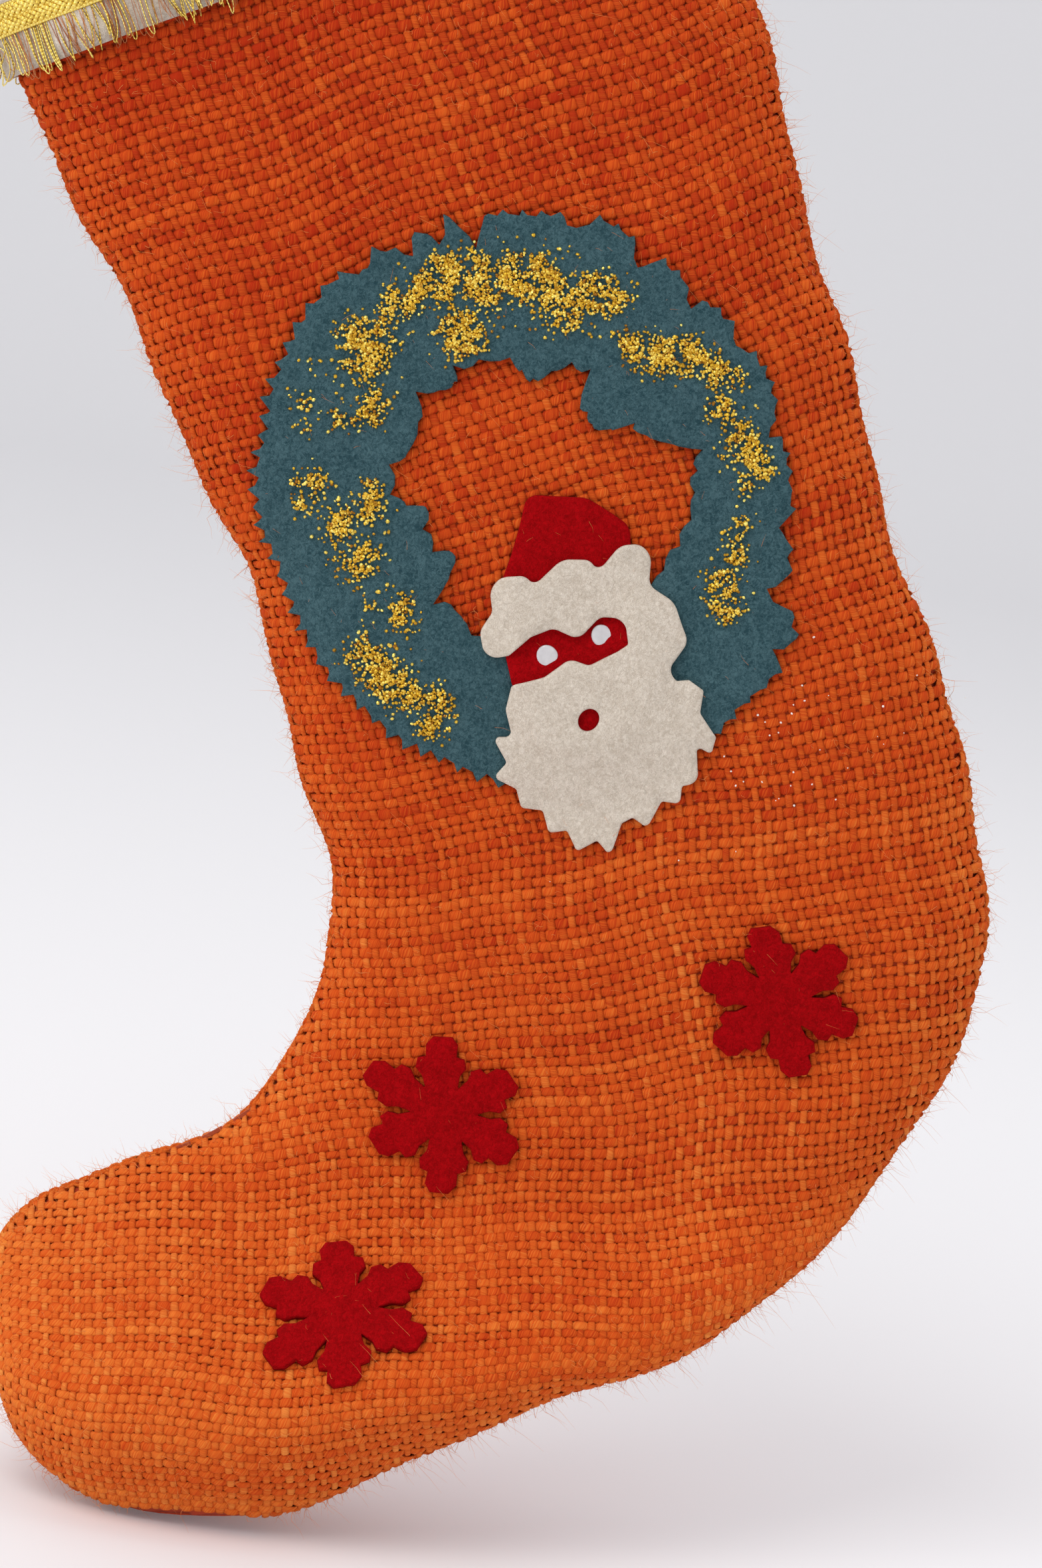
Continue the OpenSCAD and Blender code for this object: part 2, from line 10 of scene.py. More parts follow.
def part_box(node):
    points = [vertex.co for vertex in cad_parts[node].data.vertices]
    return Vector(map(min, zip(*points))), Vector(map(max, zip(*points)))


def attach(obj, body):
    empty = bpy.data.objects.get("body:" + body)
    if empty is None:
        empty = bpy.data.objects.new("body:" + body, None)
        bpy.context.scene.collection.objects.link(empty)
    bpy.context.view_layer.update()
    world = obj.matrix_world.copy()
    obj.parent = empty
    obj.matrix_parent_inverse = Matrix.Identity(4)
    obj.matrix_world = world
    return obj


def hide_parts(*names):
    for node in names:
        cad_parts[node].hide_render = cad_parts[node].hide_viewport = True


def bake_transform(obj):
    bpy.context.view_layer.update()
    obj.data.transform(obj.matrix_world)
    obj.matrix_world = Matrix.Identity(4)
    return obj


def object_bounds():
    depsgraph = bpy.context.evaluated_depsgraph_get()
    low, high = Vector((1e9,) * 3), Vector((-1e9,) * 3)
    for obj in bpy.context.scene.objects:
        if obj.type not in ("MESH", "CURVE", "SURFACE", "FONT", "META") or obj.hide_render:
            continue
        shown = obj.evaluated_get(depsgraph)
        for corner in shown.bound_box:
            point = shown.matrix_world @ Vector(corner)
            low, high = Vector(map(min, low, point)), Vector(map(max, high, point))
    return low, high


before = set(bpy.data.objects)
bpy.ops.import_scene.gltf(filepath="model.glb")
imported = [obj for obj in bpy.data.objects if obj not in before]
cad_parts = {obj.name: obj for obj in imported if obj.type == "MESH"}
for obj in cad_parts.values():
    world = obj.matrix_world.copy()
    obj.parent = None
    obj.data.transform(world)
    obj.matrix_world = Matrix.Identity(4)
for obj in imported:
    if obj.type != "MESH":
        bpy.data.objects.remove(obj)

cad_box = [list(corner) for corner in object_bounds()]

# ---- Camera -----------------------------------------------------------------------
# The stocking is seen from the front and a little above, with the view leaning so that
# the leg leans twenty degrees.
LEAN = math.radians(29)      # how far the hung leg leans
FOLD = math.radians(20)      # the fold across the foot against the mouth
MOUTH_WIDE = .168
panel_low, panel_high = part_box("front_panel")
mouth_corner = (panel_low.x + MOUTH_WIDE * math.cos(LEAN), panel_high.z)


def hang(points):
    """Takes points of the upright bag, from the mouth's heel corner, to where the stocking hangs."""
    p = np.asarray(points, float)
    c, s = math.cos(LEAN), math.sin(LEAN)
    return np.stack([mouth_corner[0] + p[..., 0] * c - p[..., 2] * s, p[..., 1],
                     mouth_corner[1] + p[..., 0] * s + p[..., 2] * c], -1)


def unhang(points):
    """Takes points of the hung stocking back to the upright bag."""
    p = np.asarray(points, float)
    c, s = math.cos(LEAN), math.sin(LEAN)
    x, z = p[..., 0] - mouth_corner[0], p[..., 2] - mouth_corner[1]
    return np.stack([x * c + z * s, p[..., 1], -x * s + z * c], -1)


def unit(v):
    """The vectors of an array at length one."""
    return v / np.maximum(np.linalg.norm(v, axis=-1, keepdims=True), 1e-9)


def placed(name, data):
    """A new object at the origin, in the scene."""
    obj = bpy.data.objects.new(name, data)
    bpy.context.scene.collection.objects.link(obj)
    return obj


VIEW_LEAN = LEAN - FOLD
VIEW_DOWN = math.radians(9)
VIEW_FAR = .9
VIEW_TALL = .342             # height that the picture takes in at the stocking
LOOKED_AT = (-.1135, -.012, -.2549)      # the picture's middle, on the upright bag
looked_at = Vector(hang(LOOKED_AT))
up = Vector((-math.sin(VIEW_LEAN), 0, math.cos(VIEW_LEAN)))
back = Vector((0, -math.cos(VIEW_DOWN), 0)) + up * math.sin(VIEW_DOWN)
right = up.cross(back).normalized()
camera = placed("camera", bpy.data.cameras.new("camera"))
camera.data.lens = camera.data.sensor_width * VIEW_FAR / VIEW_TALL
camera.data.clip_start = .01
turned = Matrix((right, back.cross(right), back)).transposed().to_4x4()
camera.matrix_world = Matrix.Translation(looked_at + back * VIEW_FAR) @ turned
bpy.context.scene.camera = camera

# ---- Bench and light --------------------------------------------------------------
# A pale paper sweep runs from under the toe and rises far behind the stocking. The light
# is a pale room all round, with a wide soft lamp above the front, a weaker one beside and
# one over the paper behind.
SWEEP_NEAR, SWEEP_FAR, SWEEP_WIDE, SWEEP_TALL, SWEEP_ROUND = -3.5, 3.6, 6, 5, 1.2
PAPER_BELOW = .0012          # gap from the CAD's lowest point to the paper
LAMP_WIDE = .9


def add(tree, kind, links=None, **values):
    """One node with its own values, its inputs set or linked by name or number."""
    node = tree.nodes.new(kind)
    for name, value in values.items():
        setattr(node, name, value)
    for socket, source in (links or {}).items():
        if isinstance(source, bpy.types.NodeSocket):
            tree.links.new(source, node.inputs[socket])
        else:
            node.inputs[socket].default_value = source
    return node


def finish(name, **plain):
    """A new material and its shader, with the shader's plain values set."""
    made = bpy.data.materials.new(name)
    made.use_nodes = True
    shader = made.node_tree.nodes["Principled BSDF"]
    for socket, value in plain.items():
        shader.inputs[socket.replace("_", " ")].default_value = value
    return made, made.node_tree, shader


def spot_of(tree):
    """The place on the object, for textures."""
    return add(tree, "ShaderNodeTexCoord").outputs["Object"]


def noise(tree, at, scale, detail, **more):
    """The value of a noise texture at a place."""
    links = {"Vector": at, "Scale": scale, "Detail": detail, **more}
    return add(tree, "ShaderNodeTexNoise", links).outputs["Fac"]


def coloured(tree, shader, value, *stops):
    """Colours the shader by a value, through stops of position and colour."""
    node = add(tree, "ShaderNodeValToRGB", {0: value})
    ramp = node.color_ramp.elements
    for k, (position, colour) in ((0, stops[0]), (1, stops[-1])):
        ramp[k].position, ramp[k].color = position, (*colour, 1)
    for position, colour in stops[1:-1]:
        ramp.new(position).color = (*colour, 1)
    tree.links.new(node.outputs[0], shader.inputs["Base Color"])


def bumped(tree, shader, height, strength, distance):
    """Roughens the shader by a height."""
    bump = add(tree, "ShaderNodeBump", {"Height": height, "Strength": strength, "Distance": distance})
    tree.links.new(bump.outputs[0], shader.inputs["Normal"])


def thickened(obj, thickness, offset):
    """Gives a sheet its thickness, on one side or about its middle."""
    thick = obj.modifiers.new("thickness", "SOLIDIFY")
    thick.thickness, thick.offset = thickness, offset


def piece(name, made_of, shape):
    """A smooth object at the origin from a bmesh, which is freed."""
    mesh = bpy.data.meshes.new(name)
    shape.to_mesh(mesh)
    shape.free()
    mesh.materials.append(made_of)
    mesh.shade_smooth()
    return placed(name, mesh)


paper = finish("paper", Roughness=.8, Base_Color=(.85, .845, .855, 1))[0]
floor_z = cad_box[0][2] - PAPER_BELOW
sweep = bmesh.new()
edge = [sweep.verts.new((x, SWEEP_NEAR, floor_z)) for x in (-SWEEP_WIDE, SWEEP_WIDE)]
strip = [sweep.edges.new(edge)]
path = [(SWEEP_FAR - SWEEP_ROUND, 0)] + [
    (SWEEP_FAR - SWEEP_ROUND + SWEEP_ROUND * math.sin(t), SWEEP_ROUND * (1 - math.cos(t)))
    for t in (math.pi / 24 * k for k in range(1, 13))] + [(SWEEP_FAR, SWEEP_TALL)]
for y, z in path:
    grown = bmesh.ops.extrude_edge_only(sweep, edges=strip)["geom"]
    strip = [e for e in grown if isinstance(e, bmesh.types.BMEdge)]
    for v in grown:
        if isinstance(v, bmesh.types.BMVert):
            v.co.y, v.co.z = y, floor_z + z
piece("sweep", paper, sweep)


def soft_lamp(name, place, aim, watts, colour):
    """A square lamp that faces a point."""
    lamp = bpy.data.lights.new(name, "AREA")
    lamp.shape, lamp.size, lamp.size_y = "RECTANGLE", LAMP_WIDE, LAMP_WIDE
    lamp.energy, lamp.color = watts, colour
    obj = placed(name, lamp)
    obj.location = place
    obj.rotation_euler = (Vector(place) - Vector(aim)).to_track_quat("Z", "Y").to_euler()


soft_lamp("key_lamp", (-.55, -.75, 1.0), (0, 0, -.35), 9.5, (1, .985, .96))
soft_lamp("side_lamp", (-1.3, -.5, -.1), (0, .1, -.3), 4, (1, .99, .98))
soft_lamp("paper_lamp", (.6, .35, .8), (.1, .4, -.5), 3, (1, .99, 1))
world = bpy.data.worlds.new("pale_room")
world.use_nodes = True
room = world.node_tree.nodes["Background"].inputs
room["Color"].default_value, room["Strength"].default_value = (.97, .97, 1, 1), .81
bpy.context.scene.world = world
bpy.context.scene.view_settings.view_transform = "Standard"

# ---- Shape of the bag ---------------------------------------------------------------
# Two panels of burlap sewn right sides together and turned, so the edge is rolled and
# the bag is a soft pillow that is open at the mouth. The toe kicks forward at a fold.
# Each corner of the upright bag is its place across and up and the radius of its arc.
PANELS = (("front", -1), ("back", 1))
HALF_DEEP = .012
CORNERS = [(-.168, 0, 0), (-.153, -.200, .300), (-.166, -.307, .056), (-.267, -.308, .026),
           (-.267, -.384, .054), (-.021, -.384, .105), (-.020, -.240, .250), (0, 0, 0)]
KICK_UP = .061               # level at which the CAD's toe starts to slope forward
PUFF = .026                  # how far in from the edge the cloth rises
ROLL = .0018                 # the rolled edge
ARC_STEP = math.radians(5)
OVER_MOUTH = .04             # the edge lines run on so far above the mouth


def rounded(corners):
    """The closed outline with each corner drawn as an arc, its radius kept within its sides."""
    p = np.array([c[:2] for c in corners])
    ahead = np.roll(p, -1, 0) - p
    runs = np.linalg.norm(ahead, axis=1)
    ahead = ahead / runs[:, None]
    behind = np.roll(ahead, 1, 0)
    turn = np.arctan2(behind[:, 0] * ahead[:, 1] - behind[:, 1] * ahead[:, 0], (behind * ahead).sum(1))
    take = np.array([c[2] for c in corners]) * np.abs(np.tan(turn / 2))
    used = take + np.roll(take, -1)
    share = np.where(used > .98 * runs, .98 * runs / np.maximum(used, 1e-9), 1)
    r = np.array([c[2] for c in corners]) * np.minimum(share, np.roll(share, 1))
    out = []
    for i in range(len(p)):
        if r[i] == 0:
            out.append(p[i])
            continue
        start = p[i] - behind[i] * r[i] * abs(math.tan(turn[i] / 2))
        side = np.array((-behind[i][1], behind[i][0])) * np.sign(turn[i])
        centre = start + side * r[i]
        x, z = start - centre
        steps = max(1, math.ceil(abs(turn[i]) / ARC_STEP))
        for k in range(steps + 1):
            c, s = math.cos(turn[i] * k / steps), math.sin(turn[i] * k / steps)
            out.append(centre + np.array((x * c - z * s, x * s + z * c)))
    return np.array(out)


def run_on(end, before):
    """The point past the end of a line that comes from the point before it."""
    return end + (end - before) * OVER_MOUTH / np.linalg.norm(end - before)


outline = rounded(CORNERS)
edge_line = np.vstack([run_on(outline[0], outline[1]), outline, run_on(outline[-1], outline[-2])])
GRID = .001
grid_x, grid_z = np.arange(-.290, .030, GRID), np.arange(-.410, .045, GRID)
gx, gz = np.meshgrid(grid_x, grid_z, indexing="ij")
inside_by = np.full(gx.shape, 9.)
for a, b in zip(edge_line[:-1], edge_line[1:]):
    run = b - a
    t = np.clip(((gx - a[0]) * run[0] + (gz - a[1]) * run[1]) / (run @ run), 0, 1)
    off_x, off_z = gx - a[0] - t * run[0], gz - a[1] - t * run[1]
    gap = np.hypot(off_x, off_z)
    nearer = gap < np.abs(inside_by) - 1e-9
    inside_by = np.where(nearer, np.where(run[0] * off_z - run[1] * off_x >= 0, gap, -gap), inside_by)
inward_x, inward_z = np.gradient(inside_by, GRID)


def read(grid, x, z):
    """Value of a grid of the upright bag between its points."""
    i = np.clip((np.asarray(x, float) - grid_x[0]) / GRID, 0, len(grid_x) - 1.001)
    k = np.clip((np.asarray(z, float) - grid_z[0]) / GRID, 0, len(grid_z) - 1.001)
    i0, k0 = i.astype(int), k.astype(int)
    part_x, part_z = i - i0, k - k0
    return ((grid[i0, k0] * (1 - part_x) + grid[i0 + 1, k0] * part_x) * (1 - part_z)
            + (grid[i0, k0 + 1] * (1 - part_x) + grid[i0 + 1, k0 + 1] * part_x) * part_z)


def level(x, z):
    """Height of a point of the upright bag with the fold level, from the lowest point of the toe."""
    return x * math.sin(FOLD) + z * math.cos(FOLD) - lowest


lowest = 0
lowest = level(outline[:, 0], outline[:, 1]).min()
heights = np.arange(-.08, .6, .001)
EASE = 18                    # steps of height on each side over which a depth line is eased
bell = np.exp(-.5 * (np.arange(-EASE, EASE + 1) / 5) ** 2)
bell /= bell.sum()


def softened(points):
    """A depth line through (height, depth) points, with its corners eased."""
    h, y = zip(*points)
    line = np.interp(heights, h, y)
    return np.convolve(np.pad(line, EASE, mode="edge"), bell, "valid")


# depth of the front, the back and the seam at each level above the toe's lowest point
front_line = softened([(0, -.0475), (.029, -.0505), (.062, -.0160), (.100, -HALF_DEEP)])
back_line = softened([(0, -.024), (.0305, .000), (.075, .010), (.100, HALF_DEEP)])
seam_line = softened([(-.002, -.037), (.0305, -.025), (.066, -.001), (.100, 0)])


def swell(d):
    """Share of the bag's depth reached so far in from its edge."""
    rise = 1 - (1 - np.clip(d / PUFF, 0, 1)) ** 2.6
    roll = np.sqrt(1 - (1 - np.clip(d / ROLL, 0, 1)) ** 2)
    wide = 1 - (1 - np.clip(d / .075, 0, 1)) ** 2
    return .13 * roll + .69 * rise + .18 * wide


def depth(x, z, side):
    """How far back one panel's middle lies, side -1 for the front and 1 for the back."""
    d, h = read(inside_by, x, z), level(x, z)
    seam = np.interp(h, heights, seam_line)
    face = np.interp(h, heights, front_line if side < 0 else back_line)
    k = 1 if side < 0 else -.8
    sway = .0007 * (np.sin(61 * x + 38 * z + k) + .7 * np.sin(-47 * x + 71 * z + 2 * k)
                    + .5 * np.sin(103 * x + 20 * z + 3 * k))
    s = swell(d)
    return seam + (face - seam + sway * s) * s


def cloth_point(x, z, lift, side):
    """Point of the hung stocking so far outside one panel's middle, and the outward normal there."""
    step = .0004
    near = read(inside_by, x, z) < .0006      # on the rolled edge the slope is taken further in
    px = np.where(near, x + read(inward_x, x, z) * .0005, x)
    pz = np.where(near, z + read(inward_z, x, z) * .0005, z)
    slope_x = (depth(px + step, pz, side) - depth(px - step, pz, side)) / (2 * step)
    slope_z = (depth(px, pz + step, side) - depth(px, pz - step, side)) / (2 * step)
    n = np.stack([-slope_x, np.ones_like(slope_x), -slope_z], -1) * side
    n = unit(n)
    calm = np.clip((-z - .05) / .06, 0, 1)                   # the cuff keeps the mouth straight
    drift = .0009 * calm
    bx = x + drift * (np.sin(95 * z + 1.3) + .6 * np.sin(190 * z + 40 * x + .4))
    bz = z + drift * (np.sin(80 * x + 2.1) + .6 * np.sin(150 * x - 30 * z))
    p = np.stack([bx, depth(x, z, side), bz], -1) + n * np.asarray(lift)[..., None]
    turned_n = hang(n) - hang(np.zeros(3))
    return hang(p), turned_n


# ---- Burlap: painted shade sheet -----------------------------------------------------
# Painted shade between the threads: one thin dark layer behind the weave that stands for
# the shaded inside of the bag seen through the gaps. The two panels meet at the sewn edge.
BASE_BACK, BASE_THICK = .0007, .0004
GRID_STEP = .005


def mapped(shape, place):
    """Moves every vertex of a bmesh by a function of all their coordinates."""
    co = np.array([v.co[:] for v in shape.verts])
    for v, p in zip(shape.verts, place(co)):
        v.co = p


def quilted(shape, step, low, high):
    """Cuts a bmesh along a square grid in the XZ plane, so that it can bend."""
    for axis in (0, 2):
        across = Vector((axis == 0, 0, axis == 2))
        for at in np.arange(math.floor(low[axis] / step) * step, high[axis] + step, step):
            everything = shape.verts[:] + shape.edges[:] + shape.faces[:]
            bmesh.ops.bisect_plane(shape, geom=everything, dist=1e-7, plane_co=across * at, plane_no=across)


# its colour is painted shade: the dark inside of the bag between the threads, mottled at random
painted_shade_burlap, tree, shader = finish("burlap_painted_shade", Roughness=.9)
blotch = noise(tree, spot_of(tree), 900, 3)
coloured(tree, shader, blotch, (0, (.34, .022, .003)), (1, (.58, .065, .008)))
bumped(tree, shader, blotch, .5, .0002)

for name, side in PANELS:
    cloth = bmesh.new()
    ring = [cloth.verts.new((x, 0, z)) for x, z in outline]
    cloth.faces.new(ring if side < 0 else ring[::-1])
    quilted(cloth, GRID_STEP, (-.268, 0, -.385), (0, 0, 0))
    bmesh.ops.triangulate(cloth, faces=[f for f in cloth.faces if len(f.verts) > 4])
    sunk_by = -BASE_BACK + BASE_THICK
    mapped(cloth, lambda co: cloth_point(co[:, 0], co[:, 2], np.full(len(co), sunk_by), side)[0])
    bmesh.ops.recalc_face_normals(cloth, faces=cloth.faces)
    outwards = sum(f.normal.y * f.calc_area() for f in cloth.faces) * side
    if outwards < 0:
        bmesh.ops.reverse_faces(cloth, faces=cloth.faces)
    # a thin sheet of painted shade behind each panel's threads
    obj = piece(name + "_shade_sheet", painted_shade_burlap, cloth)
    thickened(obj, BASE_THICK, -1)
    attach(obj, "stocking")

# ---- Burlap: the threads ---------------------------------------------------------------
# Plain weave of dyed jute: thin twisted warp threads up the leg and broader, flatter weft
# threads across it, each over one and under one. The cloth has been pulled round the
# instep, so the weave turns with the foot.
WARP_STEP, WEFT_STEP = .00235, .00245
WARP_WIDE, WEFT_WIDE, THREAD_THICK, RISE = .00172, .00228, .00082, .00034
TURN_FROM, TURN_R, TURN_MID = -.170, .650, -.085
UNDER_LINING, UNDER_TOE = -.024, -.39    # the threads lie between these heights
FOOT_FROM = 12               # number of the weft at which the foot's pieces start
PULL, SLACK = .00022, .0009  # how far a thread is pulled aside, and runs on past the edge
SIDES = 6
chance = np.random.default_rng(20)

# cloth that lies over the toe's slope and over the rolled edge is longer than it looks from the front
arc_h = np.concatenate([[0], np.cumsum(np.hypot(np.diff(heights), np.diff(front_line)))])
laid_height = arc_h - np.interp(.2, heights, arc_h) + .2       # cloth length up to each height
deep = np.arange(0, .08, .0002)
edge_gain = np.hypot(np.gradient(swell(deep) * HALF_DEEP, .0002), 1) - 1
edge_gain = np.cumsum(edge_gain[::-1])[::-1] * .0002           # outside each distance from the edge


def woven_to_bag(u, v):
    """Where a point of the weave, u across and v along from where the leg turns, lies on the upright bag."""
    turn, r = np.maximum(v, 0) / TURN_R, TURN_R + u
    x = np.where(v <= 0, TURN_MID + u, TURN_MID - TURN_R + r * np.cos(turn))
    z = np.where(v <= 0, TURN_FROM - v, TURN_FROM - r * np.sin(turn))
    h = level(x, z)
    fall = np.interp(h, laid_height, heights) - h
    x, z = x + fall * math.sin(FOLD), z + fall * math.cos(FOLD)
    ax, az = x, z
    for _ in range(4):
        gain = np.interp(read(inside_by, ax, az), deep, edge_gain)
        ax, az = x + read(inward_x, ax, az) * gain, z + read(inward_z, ax, az) * gain
    return ax, az


def drifting(rows, columns, waves, size):
    """Slow random drift along each row."""
    k = np.arange(columns)[None, :]
    out = np.zeros((rows, columns))
    for _ in range(3):
        out += np.sin(k * 2 * np.pi / chance.uniform(*waves, (rows, 1)) + chance.uniform(0, 6.3, (rows, 1)))
    return out * size / 1.7


def raw_mesh(name, made_of, co, loops, sizes, tones):
    """A mesh from its points, its faces' corners in one row, the faces' sizes and the points' tones."""
    mesh = bpy.data.meshes.new(name)
    mesh.vertices.add(len(co))
    mesh.vertices.foreach_set("co", co.ravel().astype(np.float32))
    mesh.loops.add(len(loops))
    mesh.loops.foreach_set("vertex_index", loops.astype(np.int32))
    mesh.polygons.add(len(sizes))
    mesh.polygons.foreach_set("loop_start", np.concatenate([[0], np.cumsum(sizes)[:-1]]).astype(np.int32))
    mesh.update(calc_edges=True)
    value = mesh.attributes.new("tone", "FLOAT", "POINT")
    value.data.foreach_set("value", tones.astype(np.float32))
    mesh.materials.append(made_of)
    return mesh


def tube_mesh(name, made_of, centre, flat_dir, up_dir, wide, thick, tone, start, linked, sides=SIDES):
    """Closed tubes through rows of rings. linked says which ring of a row joins the next."""
    rows, rings = centre.shape[:2]
    used = np.zeros((rows, rings), bool)
    used[:, :-1] |= linked
    used[:, 1:] |= linked
    number = np.full((rows, rings), -1)
    number[used] = np.arange(used.sum())
    turn = np.arange(sides) * 2 * np.pi / sides
    co = (centre[used][:, None]
          + flat_dir[used][:, None] * (np.cos(turn)[None, :, None] * wide[used][:, None, None] / 2)
          + up_dir[used][:, None] * (np.sin(turn)[None, :, None] * thick[used][:, None, None] / 2))
    a, b = (number[:, :-1][linked] * sides)[:, None], (number[:, 1:][linked] * sides)[:, None]
    s = np.arange(sides)[None, :]
    walls = np.stack([a + s, b + s, b + (s + 1) % sides, a + (s + 1) % sides], -1).reshape(-1, 4)
    before, after = np.zeros((rows, rings), bool), np.zeros((rows, rings), bool)
    before[:, 1:], after[:, :-1] = linked, linked
    first, last = number[used & ~before] * sides, number[used & ~after] * sides
    ends = [(0, 1, 2, 3), (0, 3, 4, 5)] if sides == 6 else [(0, 1, 2)]
    caps = np.vstack([np.stack([first + k for k in f], -1) for f in ends]
                     + [np.stack([last + k for k in f[::-1]], -1) for f in ends])
    loops = np.concatenate([walls.ravel(), caps.ravel()])
    sizes = np.concatenate([np.full(len(walls), 4), np.full(len(caps), caps.shape[1])])
    mesh = raw_mesh(name, made_of, co.reshape(-1, 3), loops, sizes, np.repeat(tone[used], sides))
    # along the thread and round it: once in real lengths for its fibres, once as rows for baking
    runs = np.cumsum(np.linalg.norm(np.diff(centre, axis=1), axis=2), 1)
    length = np.concatenate([np.zeros((rows, 1)), runs], 1) + start[:, None]
    ring_of, side_of = np.repeat(np.arange(used.sum()), sides), np.tile(np.arange(sides), used.sum())
    along = length[used][ring_of]
    row_of = np.repeat(np.arange(rows)[:, None], rings, 1)[used]
    lanes = np.unique(row_of)
    lane = np.searchsorted(lanes, row_of)[ring_of]
    place = np.repeat(np.arange(rings)[None, :], rows, 0)[used][ring_of]
    round_it = side_of[loops].astype(float)
    wrap = np.zeros(len(loops))
    wall_loops = len(walls) * 4
    corner_side = side_of[loops[:wall_loops]].reshape(-1, 4)
    wrap[:wall_loops] = (np.array([0, 0, 1, 1])[None, :] * (corner_side[:, :1] == sides - 1)).ravel() * sides
    across = (lane[loops] + .06 + .88 * (round_it + wrap) / sides) / len(lanes)
    down = .001 + .998 * place[loops] / max(rings - 1, 1)
    for layer, uv in (("fibres", (along[loops], (round_it + wrap) / sides)), ("OFBake", (down, across))):
        mesh.uv_layers.new(name=layer).data.foreach_set("uv", np.stack(uv, -1).ravel().astype(np.float32))
    mesh.shade_smooth()
    return placed(name, mesh)


def jute(name, dark, middle, light, twist):
    """Twisted jute: fine fibres that wind round the thread, lighter where they stand up."""
    made, tree, shader = finish(name, Roughness=.85, Sheen_Weight=.04, Sheen_Roughness=.5,
                                Sheen_Tint=(1, .4, .1, 1), Specular_IOR_Level=.10)
    uv = add(tree, "ShaderNodeUVMap", uv_map="fibres").outputs[0]
    split = add(tree, "ShaderNodeSeparateXYZ", {0: uv})
    wound = add(tree, "ShaderNodeMath", {0: split.outputs[0], 1: twist, 2: split.outputs[1]},
                operation="MULTIPLY_ADD")
    fibre_at = add(tree, "ShaderNodeCombineXYZ", {0: split.outputs[0], 1: wound.outputs[0]})
    fine = add(tree, "ShaderNodeMapping", {"Vector": fibre_at.outputs[0], "Scale": (260, 9, 1)})
    fibre = noise(tree, fine.outputs[0], 1, 3, Roughness=.6)
    tone = add(tree, "ShaderNodeAttribute", attribute_name="tone")
    lifted = add(tree, "ShaderNodeMath", {0: fibre, 1: 1.3, 2: -.65}, operation="MULTIPLY_ADD")
    total = add(tree, "ShaderNodeMath", {0: tone.outputs["Fac"], 1: lifted.outputs[0]}, operation="ADD")
    coloured(tree, shader, total.outputs[0], (.1, dark), (.5, middle), (.95, light))
    bumped(tree, shader, fibre, .8, .0003)
    return made


